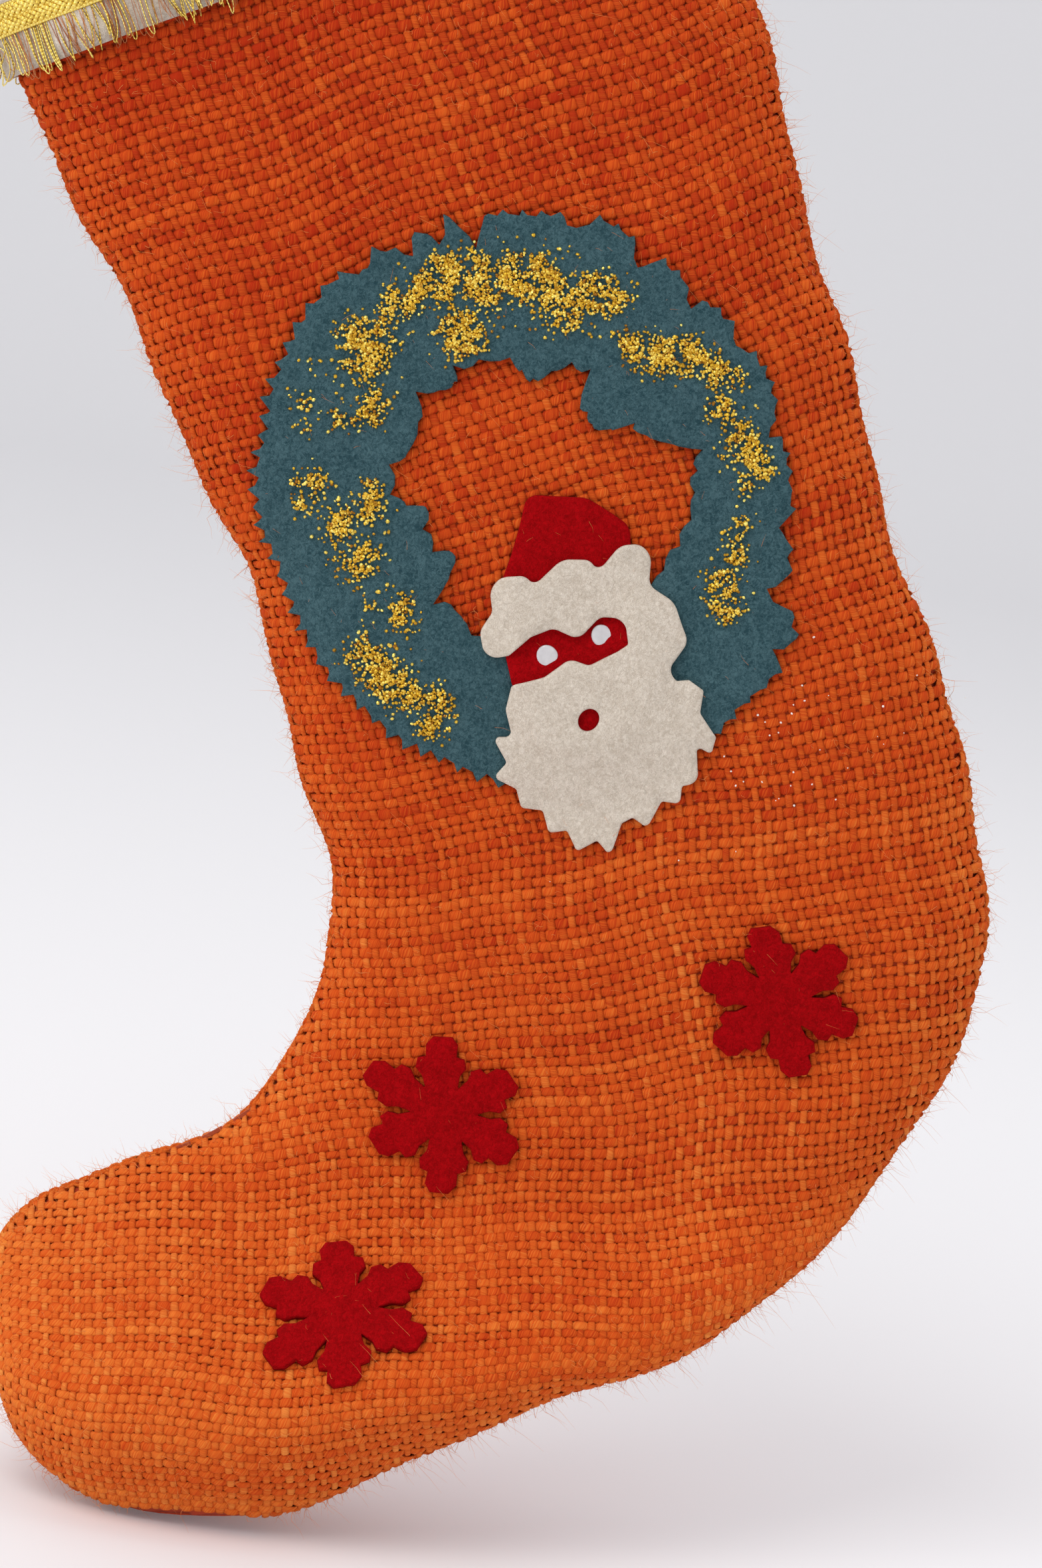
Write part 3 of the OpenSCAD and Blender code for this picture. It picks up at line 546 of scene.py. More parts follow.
WARP_COLOURS = ((.44, .030, .004), (.68, .110, .012), (.84, .28, .055))
WEFT_COLOURS = ((.42, .024, .003), (.64, .088, .009), (.80, .22, .034))
warp_jute = jute("warp_jute", *WARP_COLOURS, 700)
weft_jute = jute("weft_jute", *WEFT_COLOURS, 350)
warps, wefts = np.arange(-90, 46), np.arange(-62, 112)
fuzz_roots = {}
woven_pieces = {"front": [], "back": []}
for name, side in PANELS:
    I, J = len(warps), len(wefts)
    over = ((warps[:, None] + wefts[None, :]) % 2 == 0)
    bend_u = drifting(I, J * 2, (9, 50), .00008)
    bend_v = drifting(J, I * 2, (9, 50), .00009)
    for kind in ("warp", "weft"):
        if kind == "warp":
            v = (np.repeat(wefts, 2) + np.tile([-.25, .25], J))[None, :] * WEFT_STEP + np.zeros((I, 1))
            u = warps[:, None] * WARP_STEP + bend_u
            rise = np.repeat(np.where(over, 1, -1), 2, 1) * RISE
        else:
            u = (np.repeat(warps, 2) + np.tile([-.25, .25], I))[None, :] * WARP_STEP + np.zeros((J, 1))
            v = wefts[:, None] * WEFT_STEP + bend_v
            rise = np.repeat(np.where(over.T, -1, 1), 2, 1) * RISE
        u = u + PULL * np.sin(55 * v + 3 * np.sin(40 * u) + side)
        v = v + PULL * np.sin(47 * u + 2 * np.sin(33 * v) + 2 * side)
        x, z = woven_to_bag(u, v)
        d = read(inside_by, x, z)
        good = (d > -SLACK) & (z < UNDER_LINING) & (z > UNDER_TOE)
        # ring centres past the edge are drawn back to it, where the cloth turns in to the seam
        x = np.where(d < 0, x - read(inward_x, x, z) * d, x)
        z = np.where(d < 0, z - read(inward_z, x, z) * d, z)
        rows, rings = x.shape
        plump = 1 + drifting(rows, rings, (9, 40), .10) + chance.normal(0, .07, (rows, 1))
        wide = (WARP_WIDE if kind == "warp" else WEFT_WIDE) * plump
        thick = THREAD_THICK * (1 + .4 * (plump - 1))
        centre, normal = cloth_point(x, z, rise, side)
        ahead = np.zeros_like(centre)
        ahead[:, 1:-1] = centre[:, 2:] - centre[:, :-2]
        ahead[:, 0], ahead[:, -1] = centre[:, 1] - centre[:, 0], centre[:, -1] - centre[:, -2]
        ahead = unit(ahead)
        flat_dir = np.cross(normal, ahead)
        flat_dir = unit(flat_dir)
        up_dir = np.cross(ahead, flat_dir)
        # threads lighter within twelve millimetres of the sewn edge
        lighter_near_edge = np.clip(1 - np.clip(d, 0, 1) / .012, 0, 1) * .12
        # lighter lower down the leg and towards the toe: partly the jute's own colour, partly painted light
        # where the foot turns up towards the lamp
        lower_tone_and_light = np.clip((-z - .05) / .30, 0, 1) ** 1.3 * .26
        toe = np.clip((-x - .15) / .10, 0, 1) * .16
        tone = (.22 + lower_tone_and_light + toe + lighter_near_edge + chance.normal(0, .07, (rows, 1))
                + drifting(rows, rings, (20, 90), .05) + chance.normal(0, .035, (rows, rings)))
        linked = good[:, :-1] & good[:, 1:] & (np.linalg.norm(np.diff(centre, axis=1), axis=2) > .0002)
        start = chance.uniform(0, 1, rows)
        made_of = warp_jute if kind == "warp" else weft_jute
        leg, foot = linked.copy(), linked.copy()
        split = int(np.searchsorted(wefts, FOOT_FROM))
        if kind == "warp":
            leg[:, 2 * split:], foot[:, :2 * split] = False, False
        else:
            leg[split:], foot[:split] = False, False
        for part, joined in (("leg", leg), ("foot", foot)):
            obj = tube_mesh(f"{name}_{kind}_{part}", made_of, centre, flat_dir, up_dir, wide, thick, tone,
                            start, joined)
            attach(obj, "stocking")
            woven_pieces[name].append(obj)
        if kind == "weft":
            keep = good & (z < -.08)
            fuzz_roots[name] = (centre[keep], normal[keep], d[keep])

# Short fibres stand up from the threads, most of them along the sewn edges.
NEAR_EDGE = .0025            # fibres are thicker on the ground this near the sewn edge
FUZZ_THIN, FUZZ_CURL = .00011, .45
fuzz_jute = finish("fuzz_jute", Roughness=.7, Base_Color=(.80, .27, .06, 1))[0]


def stray_fibres(name, made_of, roots, normals, lengths, thin, curl):
    """Fine curled hairs from given roots."""
    count, steps = len(roots), 5
    t = np.linspace(0, 1, steps)[None, :, None]
    lean = chance.normal(0, 1, (count, 3))
    lean -= (lean * normals).sum(1, keepdims=True) * normals
    lean = unit(lean)
    bendy = chance.normal(0, 1, (count, 3))
    stand = chance.uniform(.25, 1.0, (count, 1))
    way = normals * stand + lean * (1.2 - stand)
    centre = roots[:, None] + lengths[:, None, None] * (
        way[:, None] * t + curl * bendy[:, None] * t ** 2
        + curl * .8 * np.roll(bendy, 1, 1)[:, None] * np.sin(t * 5) * t)
    ahead = np.gradient(centre, axis=1)
    ahead = unit(ahead)
    flat = np.cross(ahead, np.array((.3, .2, .93)))
    flat = unit(flat)
    high = np.cross(ahead, flat)
    girth = thin * (1.15 - t[..., 0]) * np.ones((count, 1))
    return tube_mesh(name, made_of, centre, flat, high, girth, girth, np.full((count, steps), .5),
                     np.zeros(count), np.ones((count, steps - 1), bool), 3)


for name, many in (("front", 4400), ("back", 2600)):
    centre, normal, d = fuzz_roots[name]
    weight = np.where(d < NEAR_EDGE, 14, 1.)
    pick = chance.choice(len(centre), many, replace=False, p=weight / weight.sum())
    long = chance.uniform(.0012, .0042, many) * np.where(d[pick] < NEAR_EDGE, 1.15, .9)
    obj = stray_fibres(name + "_fuzz", fuzz_jute, centre[pick] + normal[pick] * .0003, normal[pick],
                       long, FUZZ_THIN, FUZZ_CURL)
    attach(obj, "stocking")
    woven_pieces[name].append(obj)
    ahead = np.roll(outline, -1, 0)
    area = float(abs(np.sum(outline[:, 0] * ahead[:, 1] - outline[:, 1] * ahead[:, 0])) / 2)
    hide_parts(name + "_panel")

# ---- Felt ------------------------------------------------------------------------------
# Pressed craft felt, a millimetre and a half thick: matted fibres that run every way, so
# the colour mottles, the face is slightly furry and the cut edge is soft.


def felt_group():
    """Matted fibres: a mask of their colour and their height."""
    group = bpy.data.node_groups.new("matted_fibres", "ShaderNodeTree")
    group.interface.new_socket("Vector", in_out="INPUT", socket_type="NodeSocketVector")
    group.interface.new_socket("Mottle", in_out="OUTPUT", socket_type="NodeSocketFloat")
    group.interface.new_socket("Height", in_out="OUTPUT", socket_type="NodeSocketFloat")
    come, go = group.nodes.new("NodeGroupInput"), group.nodes.new("NodeGroupOutput")
    fine = noise(group, come.outputs[0], 1250, 5, Roughness=.75, Distortion=1.0)
    broad = noise(group, come.outputs[0], 330, 3, Roughness=.6)
    hairs = add(group, "ShaderNodeTexWave", {"Vector": come.outputs[0], "Scale": 700, "Distortion": 24,
                                             "Detail": 3, "Detail Scale": 1.2}).outputs["Fac"]
    mixed = add(group, "ShaderNodeMath", {0: fine, 1: .8}, operation="MULTIPLY")
    more = add(group, "ShaderNodeMath", {0: broad, 1: .2, 2: mixed.outputs[0]}, operation="MULTIPLY_ADD")
    tall = add(group, "ShaderNodeMath", {0: hairs, 1: .3, 2: more.outputs[0]}, operation="MULTIPLY_ADD")
    group.links.new(more.outputs[0], go.inputs["Mottle"])
    group.links.new(tall.outputs[0], go.inputs["Height"])
    return group


matted = felt_group()


def felt(name, dark, light, sheen, sheen_tint):
    """Matted felt that mottles between two colours."""
    made, tree, shader = finish(name, Roughness=.95, Sheen_Weight=sheen, Sheen_Roughness=.6,
                                Sheen_Tint=sheen_tint, Specular_IOR_Level=.05)
    mat = add(tree, "ShaderNodeGroup", node_tree=matted)
    tree.links.new(spot_of(tree), mat.inputs[0])
    coloured(tree, shader, mat.outputs["Mottle"], (.41, dark), (.60, light))
    bumped(tree, shader, mat.outputs["Height"], .7, .00035)
    return made


teal_felt = felt("teal_felt", (.018, .052, .064), (.066, .132, .150), .08, (.6, .9, 1, 1))
red_felt = felt("red_felt", (.24, .0005, .0015), (.40, .0015, .004), .02, (1, .2, .2, 1))
cream_felt = felt("cream_felt", (.55, .47, .38), (.74, .66, .56), .1, (1, .95, .9, 1))
FELT_THICK = .0015
ON_THREADS = .0006           # the felt beds a little into the weave
STEEPER = .87                # height of the toe's felt, seen from the front, against the CAD's
FELT_STEP = .003             # grid on which the felt bends
ROUND_IN, ROUND_DOWN = .00035, .00022    # softened edge of a cut


def mask_of(node, soft):
    """A soft grid of the upright bag that is 1 over a CAD node and 0 clear of it."""
    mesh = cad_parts[node].data
    points = [tuple(p) for p in unhang([v.co[:] for v in mesh.vertices])]
    solid = BVHTree.FromPolygons(points, [p.vertices[:] for p in mesh.polygons])
    mask = np.zeros(gx.shape)
    low, high = (np.array(c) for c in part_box(node))
    corners = unhang([(x, 0, z) for x in (low[0], high[0]) for z in (low[2], high[2])])
    for i in np.nonzero((grid_x > corners[:, 0].min()) & (grid_x < corners[:, 0].max()))[0]:
        for k in np.nonzero((grid_z > corners[:, 2].min()) & (grid_z < corners[:, 2].max()))[0]:
            mask[i, k] = solid.ray_cast((grid_x[i], -.2, grid_z[k]), (0, 1, 0))[0] is not None
    ease = np.exp(-.5 * (np.arange(-12, 13) * GRID / soft) ** 2)
    ease /= ease.sum()
    for axis in (0, 1):
        mask = np.apply_along_axis(np.convolve, axis, mask, ease, "same")
    return mask


def felt_cut(node, made_of, under, slope):
    """A die-cut felt piece with the CAD node's outline, draped on the burlap and on what lies under it."""
    shape = bmesh.new()
    shape.from_mesh(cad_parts[node].data)
    bmesh.ops.remove_doubles(shape, verts=shape.verts, dist=2e-6)
    bmesh.ops.dissolve_limit(shape, angle_limit=.01, verts=shape.verts, edges=shape.edges)
    co = unhang([v.co[:] for v in shape.verts])
    rise = -co[:, 1]
    if slope:
        rise = (rise - HALF_DEEP - KICK_UP + level(co[:, 0], co[:, 2])) / math.sqrt(2)
        down = rise * math.sqrt(.5)
        co[:, 0] -= down * math.sin(FOLD)
        co[:, 2] -= down * math.cos(FOLD)
        h = level(co[:, 0], co[:, 2])
        closer = (h - (h.max() + h.min()) / 2) * (STEEPER - 1)
        co[:, 0] += closer * math.sin(FOLD)
        co[:, 2] += closer * math.cos(FOLD)
    rise = rise - rise.min()
    for v, p, r in zip(shape.verts, co, rise):
        v.co = (p[0], -r, p[2])
    top = [f for f in shape.faces if all(v.co.y < -FELT_THICK * .5 for v in f.verts)]
    bmesh.ops.inset_region(shape, faces=top, thickness=ROUND_IN, depth=ROUND_DOWN, use_even_offset=True,
                           use_boundary=True)
    co = np.array([v.co[:] for v in shape.verts])
    quilted(shape, FELT_STEP, co.min(0), co.max(0))
    bmesh.ops.triangulate(shape, faces=[f for f in shape.faces if len(f.verts) > 4])

    def place(co):
        lift = ON_THREADS - co[:, 1] + sum(read(g, co[:, 0], co[:, 2]) * FELT_THICK for g in under)
        lift = lift + .00022 * np.sin(520 * co[:, 0] + 3) * np.sin(470 * co[:, 2])
        return cloth_point(co[:, 0], co[:, 2], lift, -1)[0]

    mapped(shape, place)
    obj = piece(node + "_felt", made_of, shape)
    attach(obj, "stocking")
    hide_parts(node)


def flat_size(node):
    """Width, height and cut area of a CAD felt node, from its own mesh."""
    co = unhang([v.co[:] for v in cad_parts[node].data.vertices])
    size = co.max(0) - co.min(0)
    volume = bmesh.new()
    volume.from_mesh(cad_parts[node].data)
    bmesh.ops.remove_doubles(volume, verts=volume.verts, dist=2e-6)
    area = abs(volume.calc_volume()) / FELT_THICK
    volume.free()
    return (float(size[0]), float(size[2])), area


def room_for(size, area):
    """The flat size with its area kept to the share that a cut needs."""
    return size, min(max(area, size[0] * size[1] * .31), size[0] * size[1])


wreath_mask = mask_of("wreath", .0022)
face_mask = mask_of("cap_and_face", .0018)
for node, made_of, under, slot_name, slope in (
        ("wreath", teal_felt, [], "teal_felt", False),
        ("cap_and_face", red_felt, [wreath_mask], "red_felt", False),
        ("brim_and_beard", cream_felt, [wreath_mask, face_mask], "cream_felt", False),
        ("snowflake_heel", red_felt, [], "red_felt", False),
        ("snowflake_ankle", red_felt, [], "red_felt", False),
        ("snowflake_toe", red_felt, [], "red_felt", True)):
    size, area = flat_size(node)
    if slope:
        size = (size[0], size[0])
    size, area = room_for(size, area)
    felt_cut(node, made_of, under, slope)

# ---- Glitter -----------------------------------------------------------------------------
# Coarse gold glitter in clear glue, dabbed round the wreath by hand: grains under a
# millimetre, thick in the dabs and scattered between them.
GRAINS, LOOSE_GRAINS = 7200, 46
gold_grain, tree, shader = finish("gold_grain", Metallic=.6, Roughness=.36)
tone = add(tree, "ShaderNodeAttribute", attribute_name="tone")
coloured(tree, shader, tone.outputs["Fac"],
         (.05, (.34, .14, .008)), (.5, (.74, .45, .025)), (1, (1, .84, .20)))


def grains(name, made_of, places, lifts, sizes, tones, replaces_node):
    """Many small facetted grains as one mesh, each from the same few faces."""
    seed = bmesh.new()
    bmesh.ops.create_icosphere(seed, subdivisions=1, radius=.5)
    base = np.array([v.co[:] for v in seed.verts])
    tris = np.array([[v.index for v in f.verts] for f in seed.faces])
    seed.free()
    count = len(places)
    centre, normal = cloth_point(places[:, 0], places[:, 1], lifts, -1)
    q = chance.normal(0, 1, (count, 4))
    q = unit(q)
    w, x, y, z = q.T
    turn = np.stack([np.stack([1 - 2 * (y * y + z * z), 2 * (x * y - w * z), 2 * (x * z + w * y)], -1),
                     np.stack([2 * (x * y + w * z), 1 - 2 * (x * x + z * z), 2 * (y * z - w * x)], -1),
                     np.stack([2 * (x * z - w * y), 2 * (y * z + w * x), 1 - 2 * (x * x + y * y)], -1)], -2)
    squat = base[None] * (sizes[:, None] * chance.uniform(.65, 1.1, (count, 3)))[:, None]
    co = centre[:, None] + np.einsum("nij,nkj->nki", turn, squat)
    faces = (tris[None] + (np.arange(count) * len(base))[:, None, None]).reshape(-1, 3)
    mesh = raw_mesh(name, made_of, co.reshape(-1, 3), faces.ravel(), np.full(len(faces), 3),
                    np.repeat(tones, len(base)))
    mesh.shade_flat()
    obj = placed(name, mesh)
    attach(obj, "stocking")
    if replaces_node:
        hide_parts(replaces_node)


# grains fall where the CAD node has its dabs, thick in their middles and thinning round them
glue = mask_of("wreath_glitter", .0011)
clumps = np.maximum(.45 + .55 * np.sin(900 * gx + 3 * np.sin(700 * gz)) * np.sin(800 * gz + 2), 0)
sparse = .012 * (mask_of("wreath_glitter", .004) > .12)
chances = np.where(wreath_mask > .8, glue ** 1.1 * clumps + sparse, 0)
cell = chance.choice(chances.size, GRAINS, p=(chances / chances.sum()).ravel())
places = np.stack([grid_x[cell // len(grid_z)], grid_z[cell % len(grid_z)]], -1)
places = places + chance.uniform(-.0006, .0006, (GRAINS, 2))
scattered = read(glue, places[:, 0], places[:, 1]) < .35          # these lie flat on the felt
lifts = ON_THREADS + FELT_THICK + .0004 + np.where(scattered, 0, chance.uniform(0, .0005, GRAINS))
grains("glitter", gold_grain, places, lifts, chance.uniform(.00055, .00105, GRAINS),
       np.clip(chance.normal(.52, .26, GRAINS), 0, 1), "wreath_glitter")

# A few clear grains that fell from the glue lie loose in the weave beside the beard and above the heel.
clear_grain = finish("clear_grain", Roughness=.15, Base_Color=(.86, .80, .74, 1), Coat_Weight=.6)[0]
spots = np.stack([chance.normal(-.062, .021, LOOSE_GRAINS), chance.normal(-.262, .010, LOOSE_GRAINS)], -1)
grains("loose_grains", clear_grain, spots, np.full(LOOSE_GRAINS, .0010),
       chance.uniform(.0003, .00065, LOOSE_GRAINS), np.full(LOOSE_GRAINS, .5), None)

# ---- Eyes ----------------------------------------------------------------------------------
# Two pearly plastic ovals, domed and glossy, glued on the red felt between the brim and
# the beard.
DOME, SINK = .0005, .0003    # how far a bead stands out of the felt, and into it
pearl, tree, shader = finish("pearl", Roughness=.18, Coat_Weight=.7, Coat_Roughness=.08,
                             Specular_IOR_Level=.6)
cloud = noise(tree, spot_of(tree), 700, 2)
coloured(tree, shader, cloud, (0, (.48, .46, .47)), (1, (.68, .67, .68)))
bumped(tree, shader, cloud, .35, .0004)
for node in ("eye_left", "eye_right"):
    co = unhang([v.co[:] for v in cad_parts[node].data.vertices])
    middle, size = (co.max(0) + co.min(0)) / 2, co.max(0) - co.min(0)
    bead = bmesh.new()
    bmesh.ops.create_uvsphere(bead, u_segments=32, v_segments=16, radius=1)
    bmesh.ops.rotate(bead, matrix=Matrix.Rotation(math.pi / 2, 3, "X"), verts=bead.verts)
    under = read(wreath_mask, middle[0], middle[2]) * FELT_THICK + FELT_THICK

    def domed(co, size=size, middle=middle, under=under):
        x, z = middle[0] + co[:, 0] * size[0] / 2, middle[2] + co[:, 2] * size[2] / 2
        rise = np.clip(-co[:, 1] * 1.5, 0, 1) ** .6 * DOME
        lift = ON_THREADS + under + np.where(co[:, 1] < 0, rise, -co[:, 1] * SINK)
        return cloth_point(x, z, lift, -1)[0]

    mapped(bead, domed)
    bmesh.ops.recalc_face_normals(bead, faces=bead.faces)
    obj = piece(node + "_bead", pearl, bead)
    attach(obj, "stocking")
    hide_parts(node)

# ---- Cuff ------------------------------------------------------------------------------------
# A band of cream felt round the mouth: a flap outside, a fold over the burlap's raw edge
# and a lining inside, sewn to itself at both sides.
CUFF_TALL, TURN_IN = .075, .028
CUFF_OUT = .00185            # middle of the felt outside the burlap's middle
CUFF_TOP = CUFF_OUT + FELT_THICK / 2
CUFF_COLUMNS = 84
CORNER = .002                # the last of the cuff at each side, which turns the corner
to_heel = hang((1, 0, 0)) - hang((0, 0, 0))      # directions across and up the upright bag
to_mouth = hang((0, 0, 1)) - hang((0, 0, 0))


def mouth_span(z):
    """Where the bag's toe side and heel side lie at a height near the mouth."""
    share = z / -.2
    return -MOUTH_WIDE + .015 * share, .020 * z / .240


def round_the_mouth(across, down, out, side):
    """Points of a layer round the mouth: across from 0 to 1, below the mouth's line if down is
    negative and above it if not, and so far out from the burlap's middle."""
    toe_side, heel_side = mouth_span(np.minimum(down, 0))
    eased = across - .018 * np.sin(2 * np.pi * across)
    x = toe_side + (heel_side - toe_side) * eased
    x = np.clip(x, toe_side + .00012, heel_side - .00012)
    base, normal = cloth_point(x, np.minimum(down, -.0002), np.zeros_like(x), side)
    rise = np.maximum(down, 0)
    p = base + normal * out[:, None] + to_mouth[None] * rise[:, None]
    # the corner is turned so that the front half meets the back half
    corner = np.clip(1 - np.minimum(across, 1 - across) * MOUTH_WIDE / CORNER, 0, 1)
    outward = np.where(across < .5, -1, 1) * corner * np.abs(out) * .8 * np.sign(out)
    p = p + to_heel[None] * outward[:, None]
    p[:, 1] *= 1 - corner
    return p


for name, side in PANELS:
    profile = [(z, CUFF_OUT) for z in np.linspace(-CUFF_TALL, -.002, 22)]
    profile += [(CUFF_OUT * .95 * math.sin(t), CUFF_OUT * math.cos(t)) for t in np.linspace(0, math.pi, 9)]
    profile += [(z, -CUFF_OUT) for z in np.linspace(-.002, -TURN_IN, 9)]
    profile = np.array(profile)
    band = bmesh.new()
    bmesh.ops.create_grid(band, x_segments=CUFF_COLUMNS, y_segments=len(profile) - 1, size=.5)

    def place(co, side=side, profile=profile):
        k = (co[:, 1] + .5) * (len(profile) - 1)
        down = np.interp(k, np.arange(len(profile)), profile[:, 0])
        out = np.interp(k, np.arange(len(profile)), profile[:, 1])
        across = co[:, 0] + .5
        p = round_the_mouth(across, down, out, side)
        flare = np.clip(-down / CUFF_TALL, 0, 1) ** 2 * .0006 * np.sin(across * 23 + side)
        return p + np.array((0, side, 0))[None] * np.where(out > 0, flare, 0)[:, None]

    mapped(band, place)
    bmesh.ops.recalc_face_normals(band, faces=band.faces)
    flap = [f for f in band.faces if abs(unhang(f.calc_center_median()[:])[2] + .05) < .02]
    if sum(f.normal.y * side for f in flap) < 0:
        bmesh.ops.reverse_faces(band, faces=band.faces)
    obj = piece(f"cuff_{name}_felt", cream_felt, band)
    thickened(obj, FELT_THICK, 0)
    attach(obj, "stocking")
    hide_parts("cuff_" + name)

# ---- Braid -------------------------------------------------------------------------------------
# Woven metallic braid sewn along the cuff: eight gold strands that zigzag from edge to edge,
# over and under each other, and a cord along each edge and the middle.
BRAID_LOW, BRAID_WIDE = -.0665, .0065
BRAID_RINGS, STRANDS, ZIGZAGS = 420, 8, 26
STRAND_WIDE, CORD_WIDE = .0011, .0009
gold_thread, tree, shader = finish("gold_thread", Metallic=.85, Roughness=.34)
uv = add(tree, "ShaderNodeUVMap", uv_map="fibres").outputs[0]
tone = add(tree, "ShaderNodeAttribute", attribute_name="tone")
wound = add(tree, "ShaderNodeMapping", {"Vector": uv, "Scale": (1, .0007, 1)}).outputs[0]
wind = add(tree, "ShaderNodeTexWave", {"Vector": wound, "Scale": 420, "Distortion": 1.2}).outputs["Fac"]
total = add(tree, "ShaderNodeMath", {0: wind, 1: .35, 2: tone.outputs["Fac"]}, operation="MULTIPLY_ADD")
coloured(tree, shader, total.outputs[0], (.1, (.28, .13, .03)), (.5, (.80, .56, .09)), (1, (.97, .80, .26)))
bumped(tree, shader, wind, .6, .0002)


def along_cuff(across, down, out, side):
    """Points, outward normals and directions of lines on the cuff, given as rows of rings."""
    shape = across.shape
    p = round_the_mouth(across.ravel(), down.ravel(), out.ravel(), side).reshape(*shape, 3)
    q = round_the_mouth(across.ravel(), down.ravel(), out.ravel() + .001, side).reshape(*shape, 3)
    n = unit(q - p)
    ahead = np.gradient(p, axis=1)
    ahead = unit(ahead)
    flat = np.cross(n, ahead)
    flat = unit(flat)
    return p, flat, np.cross(ahead, flat)


for name, side in PANELS:
    s = np.linspace(0, 1, BRAID_RINGS)[None, :]
    middle = BRAID_LOW + BRAID_WIDE / 2
    strands, rises, wides = [], [], []
    for k in range(STRANDS):
        phase = k / STRANDS * 2
        swing = np.abs(((s * ZIGZAGS + phase) % 2) - 1) * 2 - 1
        strands.append(middle + swing * BRAID_WIDE * .42)
        rises.append(CUFF_TOP + .00045 + .00022 * np.sin(2 * np.pi * (s * ZIGZAGS * 2 + phase * 2 + k % 2)))
        wides.append(STRAND_WIDE)
    for k in (-1, 0, 1):
        strands.append(np.full_like(s, middle + k * BRAID_WIDE * .46))
        rises.append(np.full_like(s, CUFF_TOP + .0004))
        wides.append(CORD_WIDE)
    count = len(strands)
    p, flat, high = along_cuff(np.repeat(s, count, 0), np.vstack(strands), np.vstack(rises), side)
    wide = np.repeat(np.array(wides)[:, None], BRAID_RINGS, 1)
    tone = .42 + chance.normal(0, .07, (count, 1)) + chance.normal(0, .05, (count, BRAID_RINGS))
    obj = tube_mesh(f"braid_{name}_strands", gold_thread, p, flat, high, wide, wide * .75, tone,
                    chance.uniform(0, 1, count), np.ones((count, BRAID_RINGS - 1), bool))
    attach(obj, "stocking")
    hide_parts("braid_" + name)

# ---- Fringe ---------------------------------------------------------------------------------------
# The braid's lower threads are left as loops: fine gold and copper threads that hang to
# the cuff's edge, curl at their ends and stick out at the sides.
FRINGE_RINGS = 13
FRINGE_DROP = .0099
copper_thread, tree, shader = finish("copper_thread", Metallic=.15, Roughness=.45)
tone = add(tree, "ShaderNodeAttribute", attribute_name="tone")
coloured(tree, shader, tone.outputs["Fac"], (.2, (.34, .08, .02)), (.9, (.66, .28, .09)))
for name, side in PANELS:
    for tint, made_of, many, thin in (("gold", gold_thread, 95, .00036),
                                      ("copper", copper_thread, 150, .00016)):
        start = np.sort(chance.uniform(.002, .998, many))[:, None]
        t = np.linspace(0, 1, FRINGE_RINGS)[None, :]
        drop = FRINGE_DROP + chance.normal(0, .0010, (many, 1))
        loop = np.sin(np.pi * t) ** .8
        fall = BRAID_LOW + .0004 - drop * loop
        gap = chance.uniform(.0012, .0030, (many, 1)) / MOUTH_WIDE
        slant = chance.normal(0, .010, (many, 1))
        across = start + gap * (t - .5) + slant * loop * .6 + .002 * np.sin(9 * t + 40 * start)
        across = np.clip(across, -.004, 1.004)
        lift = CUFF_TOP + .0004 + .0007 * loop * chance.uniform(.2, 1.5, (many, 1))
        p, flat, high = along_cuff(np.clip(across, 0, 1), fall, lift, side)
        past = (np.clip(across, None, 0) + np.clip(across - 1, 0, None)) * MOUTH_WIDE
        p = p + past[..., None] * to_heel
        girth = np.full(p.shape[:2], thin)
        tone = np.clip(.5 + chance.normal(0, .18, (many, 1)), 0, 1) + np.zeros((1, FRINGE_RINGS))
        obj = tube_mesh(f"fringe_{name}_{tint}", made_of, p, flat, high, girth, girth, tone, np.zeros(many),
                        np.ones((many, FRINGE_RINGS - 1), bool), 3)
        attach(obj, f"fringe_{name}_threads")
        if tint == "gold":
            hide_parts("fringe_" + name)

# ---- Loop -----------------------------------------------------------------------------------------
# One strip of cream felt tape, doubled: a teardrop eye for the hook, a short free neck and
# two ends sewn inside the heel side of the mouth.
TAPE_WIDE, TAPE_THICK = .010, .0013
eye_low, eye_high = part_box("hanging_loop")
neck_low, neck_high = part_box("loop_neck")
neck_mid = (neck_low.z + neck_high.z) / 2
tail = unhang(np.array([v.co[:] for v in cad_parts["loop_tail"].data.vertices]))
tail_low, tail_high = tail[:, 2].min(), tail[:, 2].max()
tail_x = (tail[:, 0].max() + tail[:, 0].min()) / 2


def tape(name, line, nodes):
    """A strip of felt tape along a line in the XZ plane, its width across it."""
    band = bmesh.new()
    bmesh.ops.create_grid(band, x_segments=len(line) - 1, y_segments=4, size=.5)

    def place(co):
        k = (co[:, 0] + .5) * (len(line) - 1)
        return np.stack([np.interp(k, np.arange(len(line)), line[:, 0]), co[:, 1] * TAPE_WIDE,
                         np.interp(k, np.arange(len(line)), line[:, 1])], -1)

    mapped(band, place)
    bmesh.ops.recalc_face_normals(band, faces=band.faces)
    obj = piece(name, cream_felt, band)
    thickened(obj, TAPE_THICK, 0)
    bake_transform(obj)
    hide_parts(*nodes)
    return obj


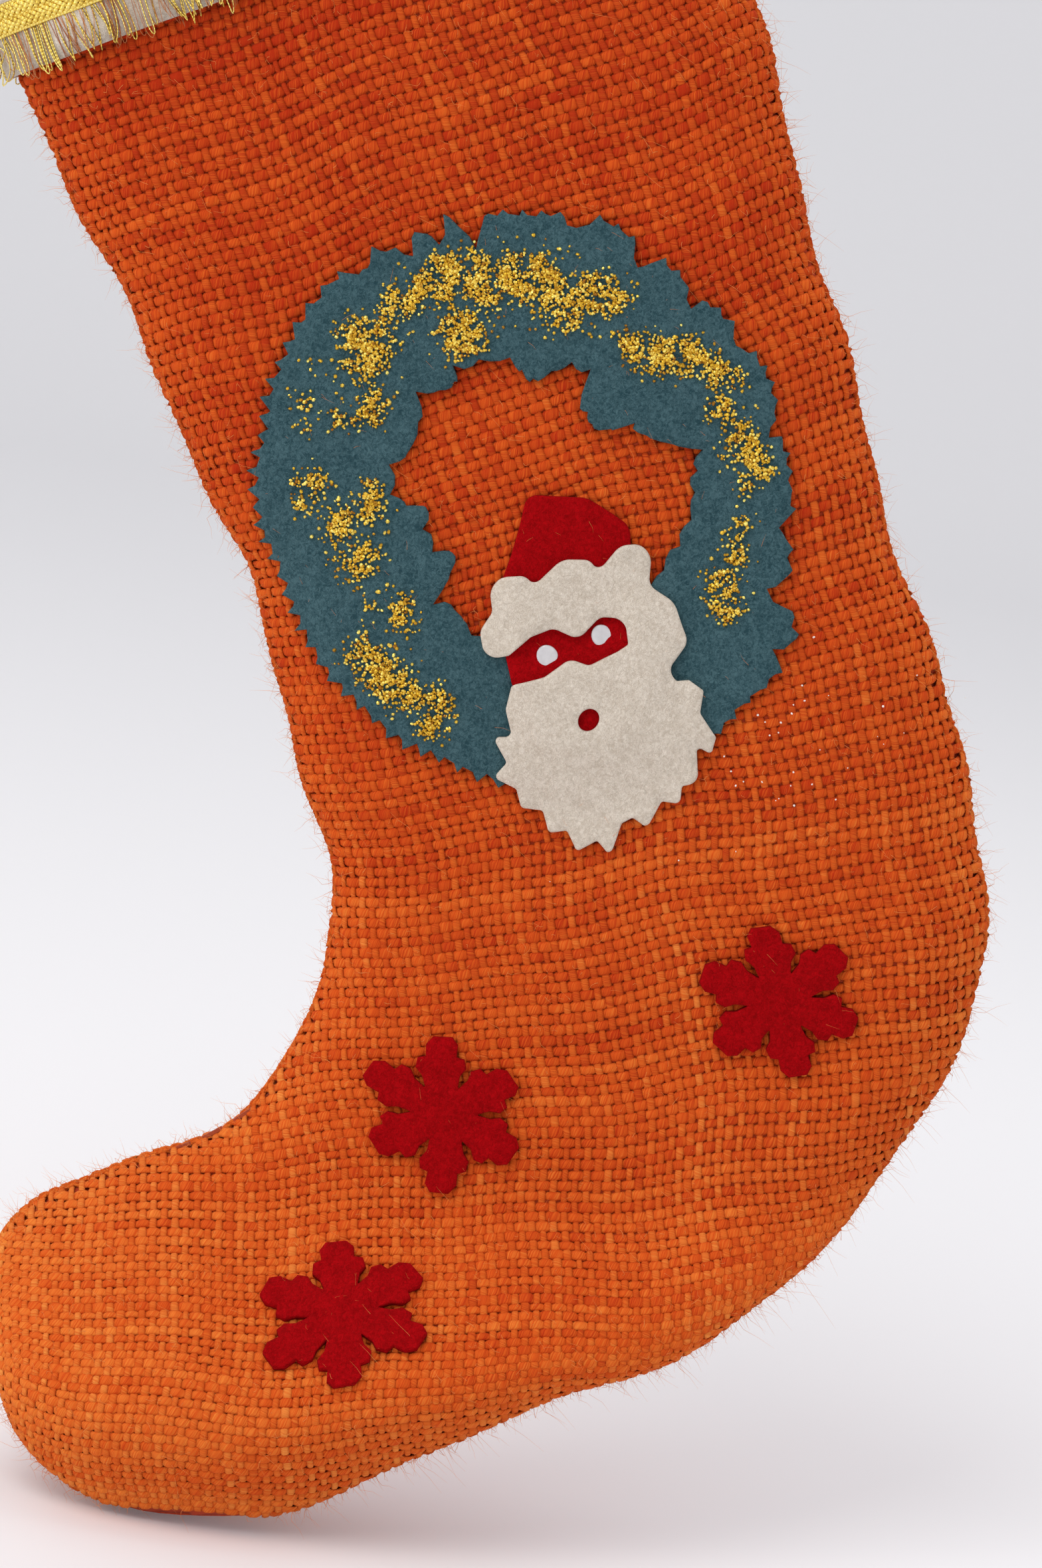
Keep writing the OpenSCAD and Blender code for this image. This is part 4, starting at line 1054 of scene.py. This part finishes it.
def smooth_line(points, count):
    """An even, eased line through points."""
    p = np.array(points)
    for _ in range(3):
        cut = [np.vstack([.75 * a + .25 * b, .25 * a + .75 * b]) for a, b in zip(p[:-1], p[1:])]
        p = np.vstack([p[:1], *cut, p[-1:]])
    run = np.concatenate([[0], np.cumsum(np.linalg.norm(np.diff(p, axis=0), axis=1))])
    s = np.linspace(0, run[-1], count)
    return np.stack([np.interp(s, run, p[:, 0]), np.interp(s, run, p[:, 1])], -1)


half_gap = TAPE_THICK * .55
eye_r = .008 + TAPE_THICK / 2
top = eye_high.z - TAPE_THICK / 2
ring_line = [(half_gap, neck_mid), (half_gap, neck_high.z), (half_gap * 1.4, eye_low.z + .004)]
ring_line += [(eye_r * math.sin(t), top - eye_r + eye_r * math.cos(t)) for t in np.linspace(1.9, -1.9, 15)]
ring_line += [(-half_gap * 1.4, eye_low.z + .004), (-half_gap, neck_high.z), (-half_gap, neck_mid)]
eye_tape = tape("loop_eye_tape", smooth_line(ring_line, 72),
                ["hanging_loop"])
tail_lines = []
for k in (-1, 1):
    hanging = [(k * half_gap, neck_mid), (k * half_gap, neck_low.z + .004)]
    for z in np.linspace(tail_high, tail_low, 5):
        p = hang((tail_x + k * half_gap * 1.05, 0, z))
        hanging.append((p[0], p[2]))
    tail_lines.append(smooth_line(hanging, 26))
for label, line, nodes in (("inner", tail_lines[0], ["loop_neck"]), ("outer", tail_lines[1], ["loop_tail"])):
    obj = tape(f"loop_{label}_tape", line, nodes)
    run = float(np.linalg.norm(np.diff(line, axis=0), axis=1).sum())

# ---- Hand stitches -----------------------------------------------------------------------------------
# Cotton thread: bar tacks through the tape's ends, running stitches round the lining and
# the seam's thread inside the bag.


def cotton(name, dark, light):
    """Spun cotton that mottles along its plies."""
    made, tree, shader = finish(name, Roughness=.8, Sheen_Weight=.2)
    coloured(tree, shader, noise(tree, spot_of(tree), 1800, 2), (0, dark), (1, light))
    return made


cream_cotton = cotton("cotton_thread", (.50, .44, .33), (.74, .69, .57))
orange_cotton = cotton("orange_cotton", (.25, .03, .004), (.46, .07, .01))
for node, made_of in (("loop_stitches", cream_cotton), ("cuff_stitches", cream_cotton),
                      ("seam_stitches", orange_cotton)):
    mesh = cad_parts[node].data
    mesh.materials.clear()
    mesh.materials.append(made_of)
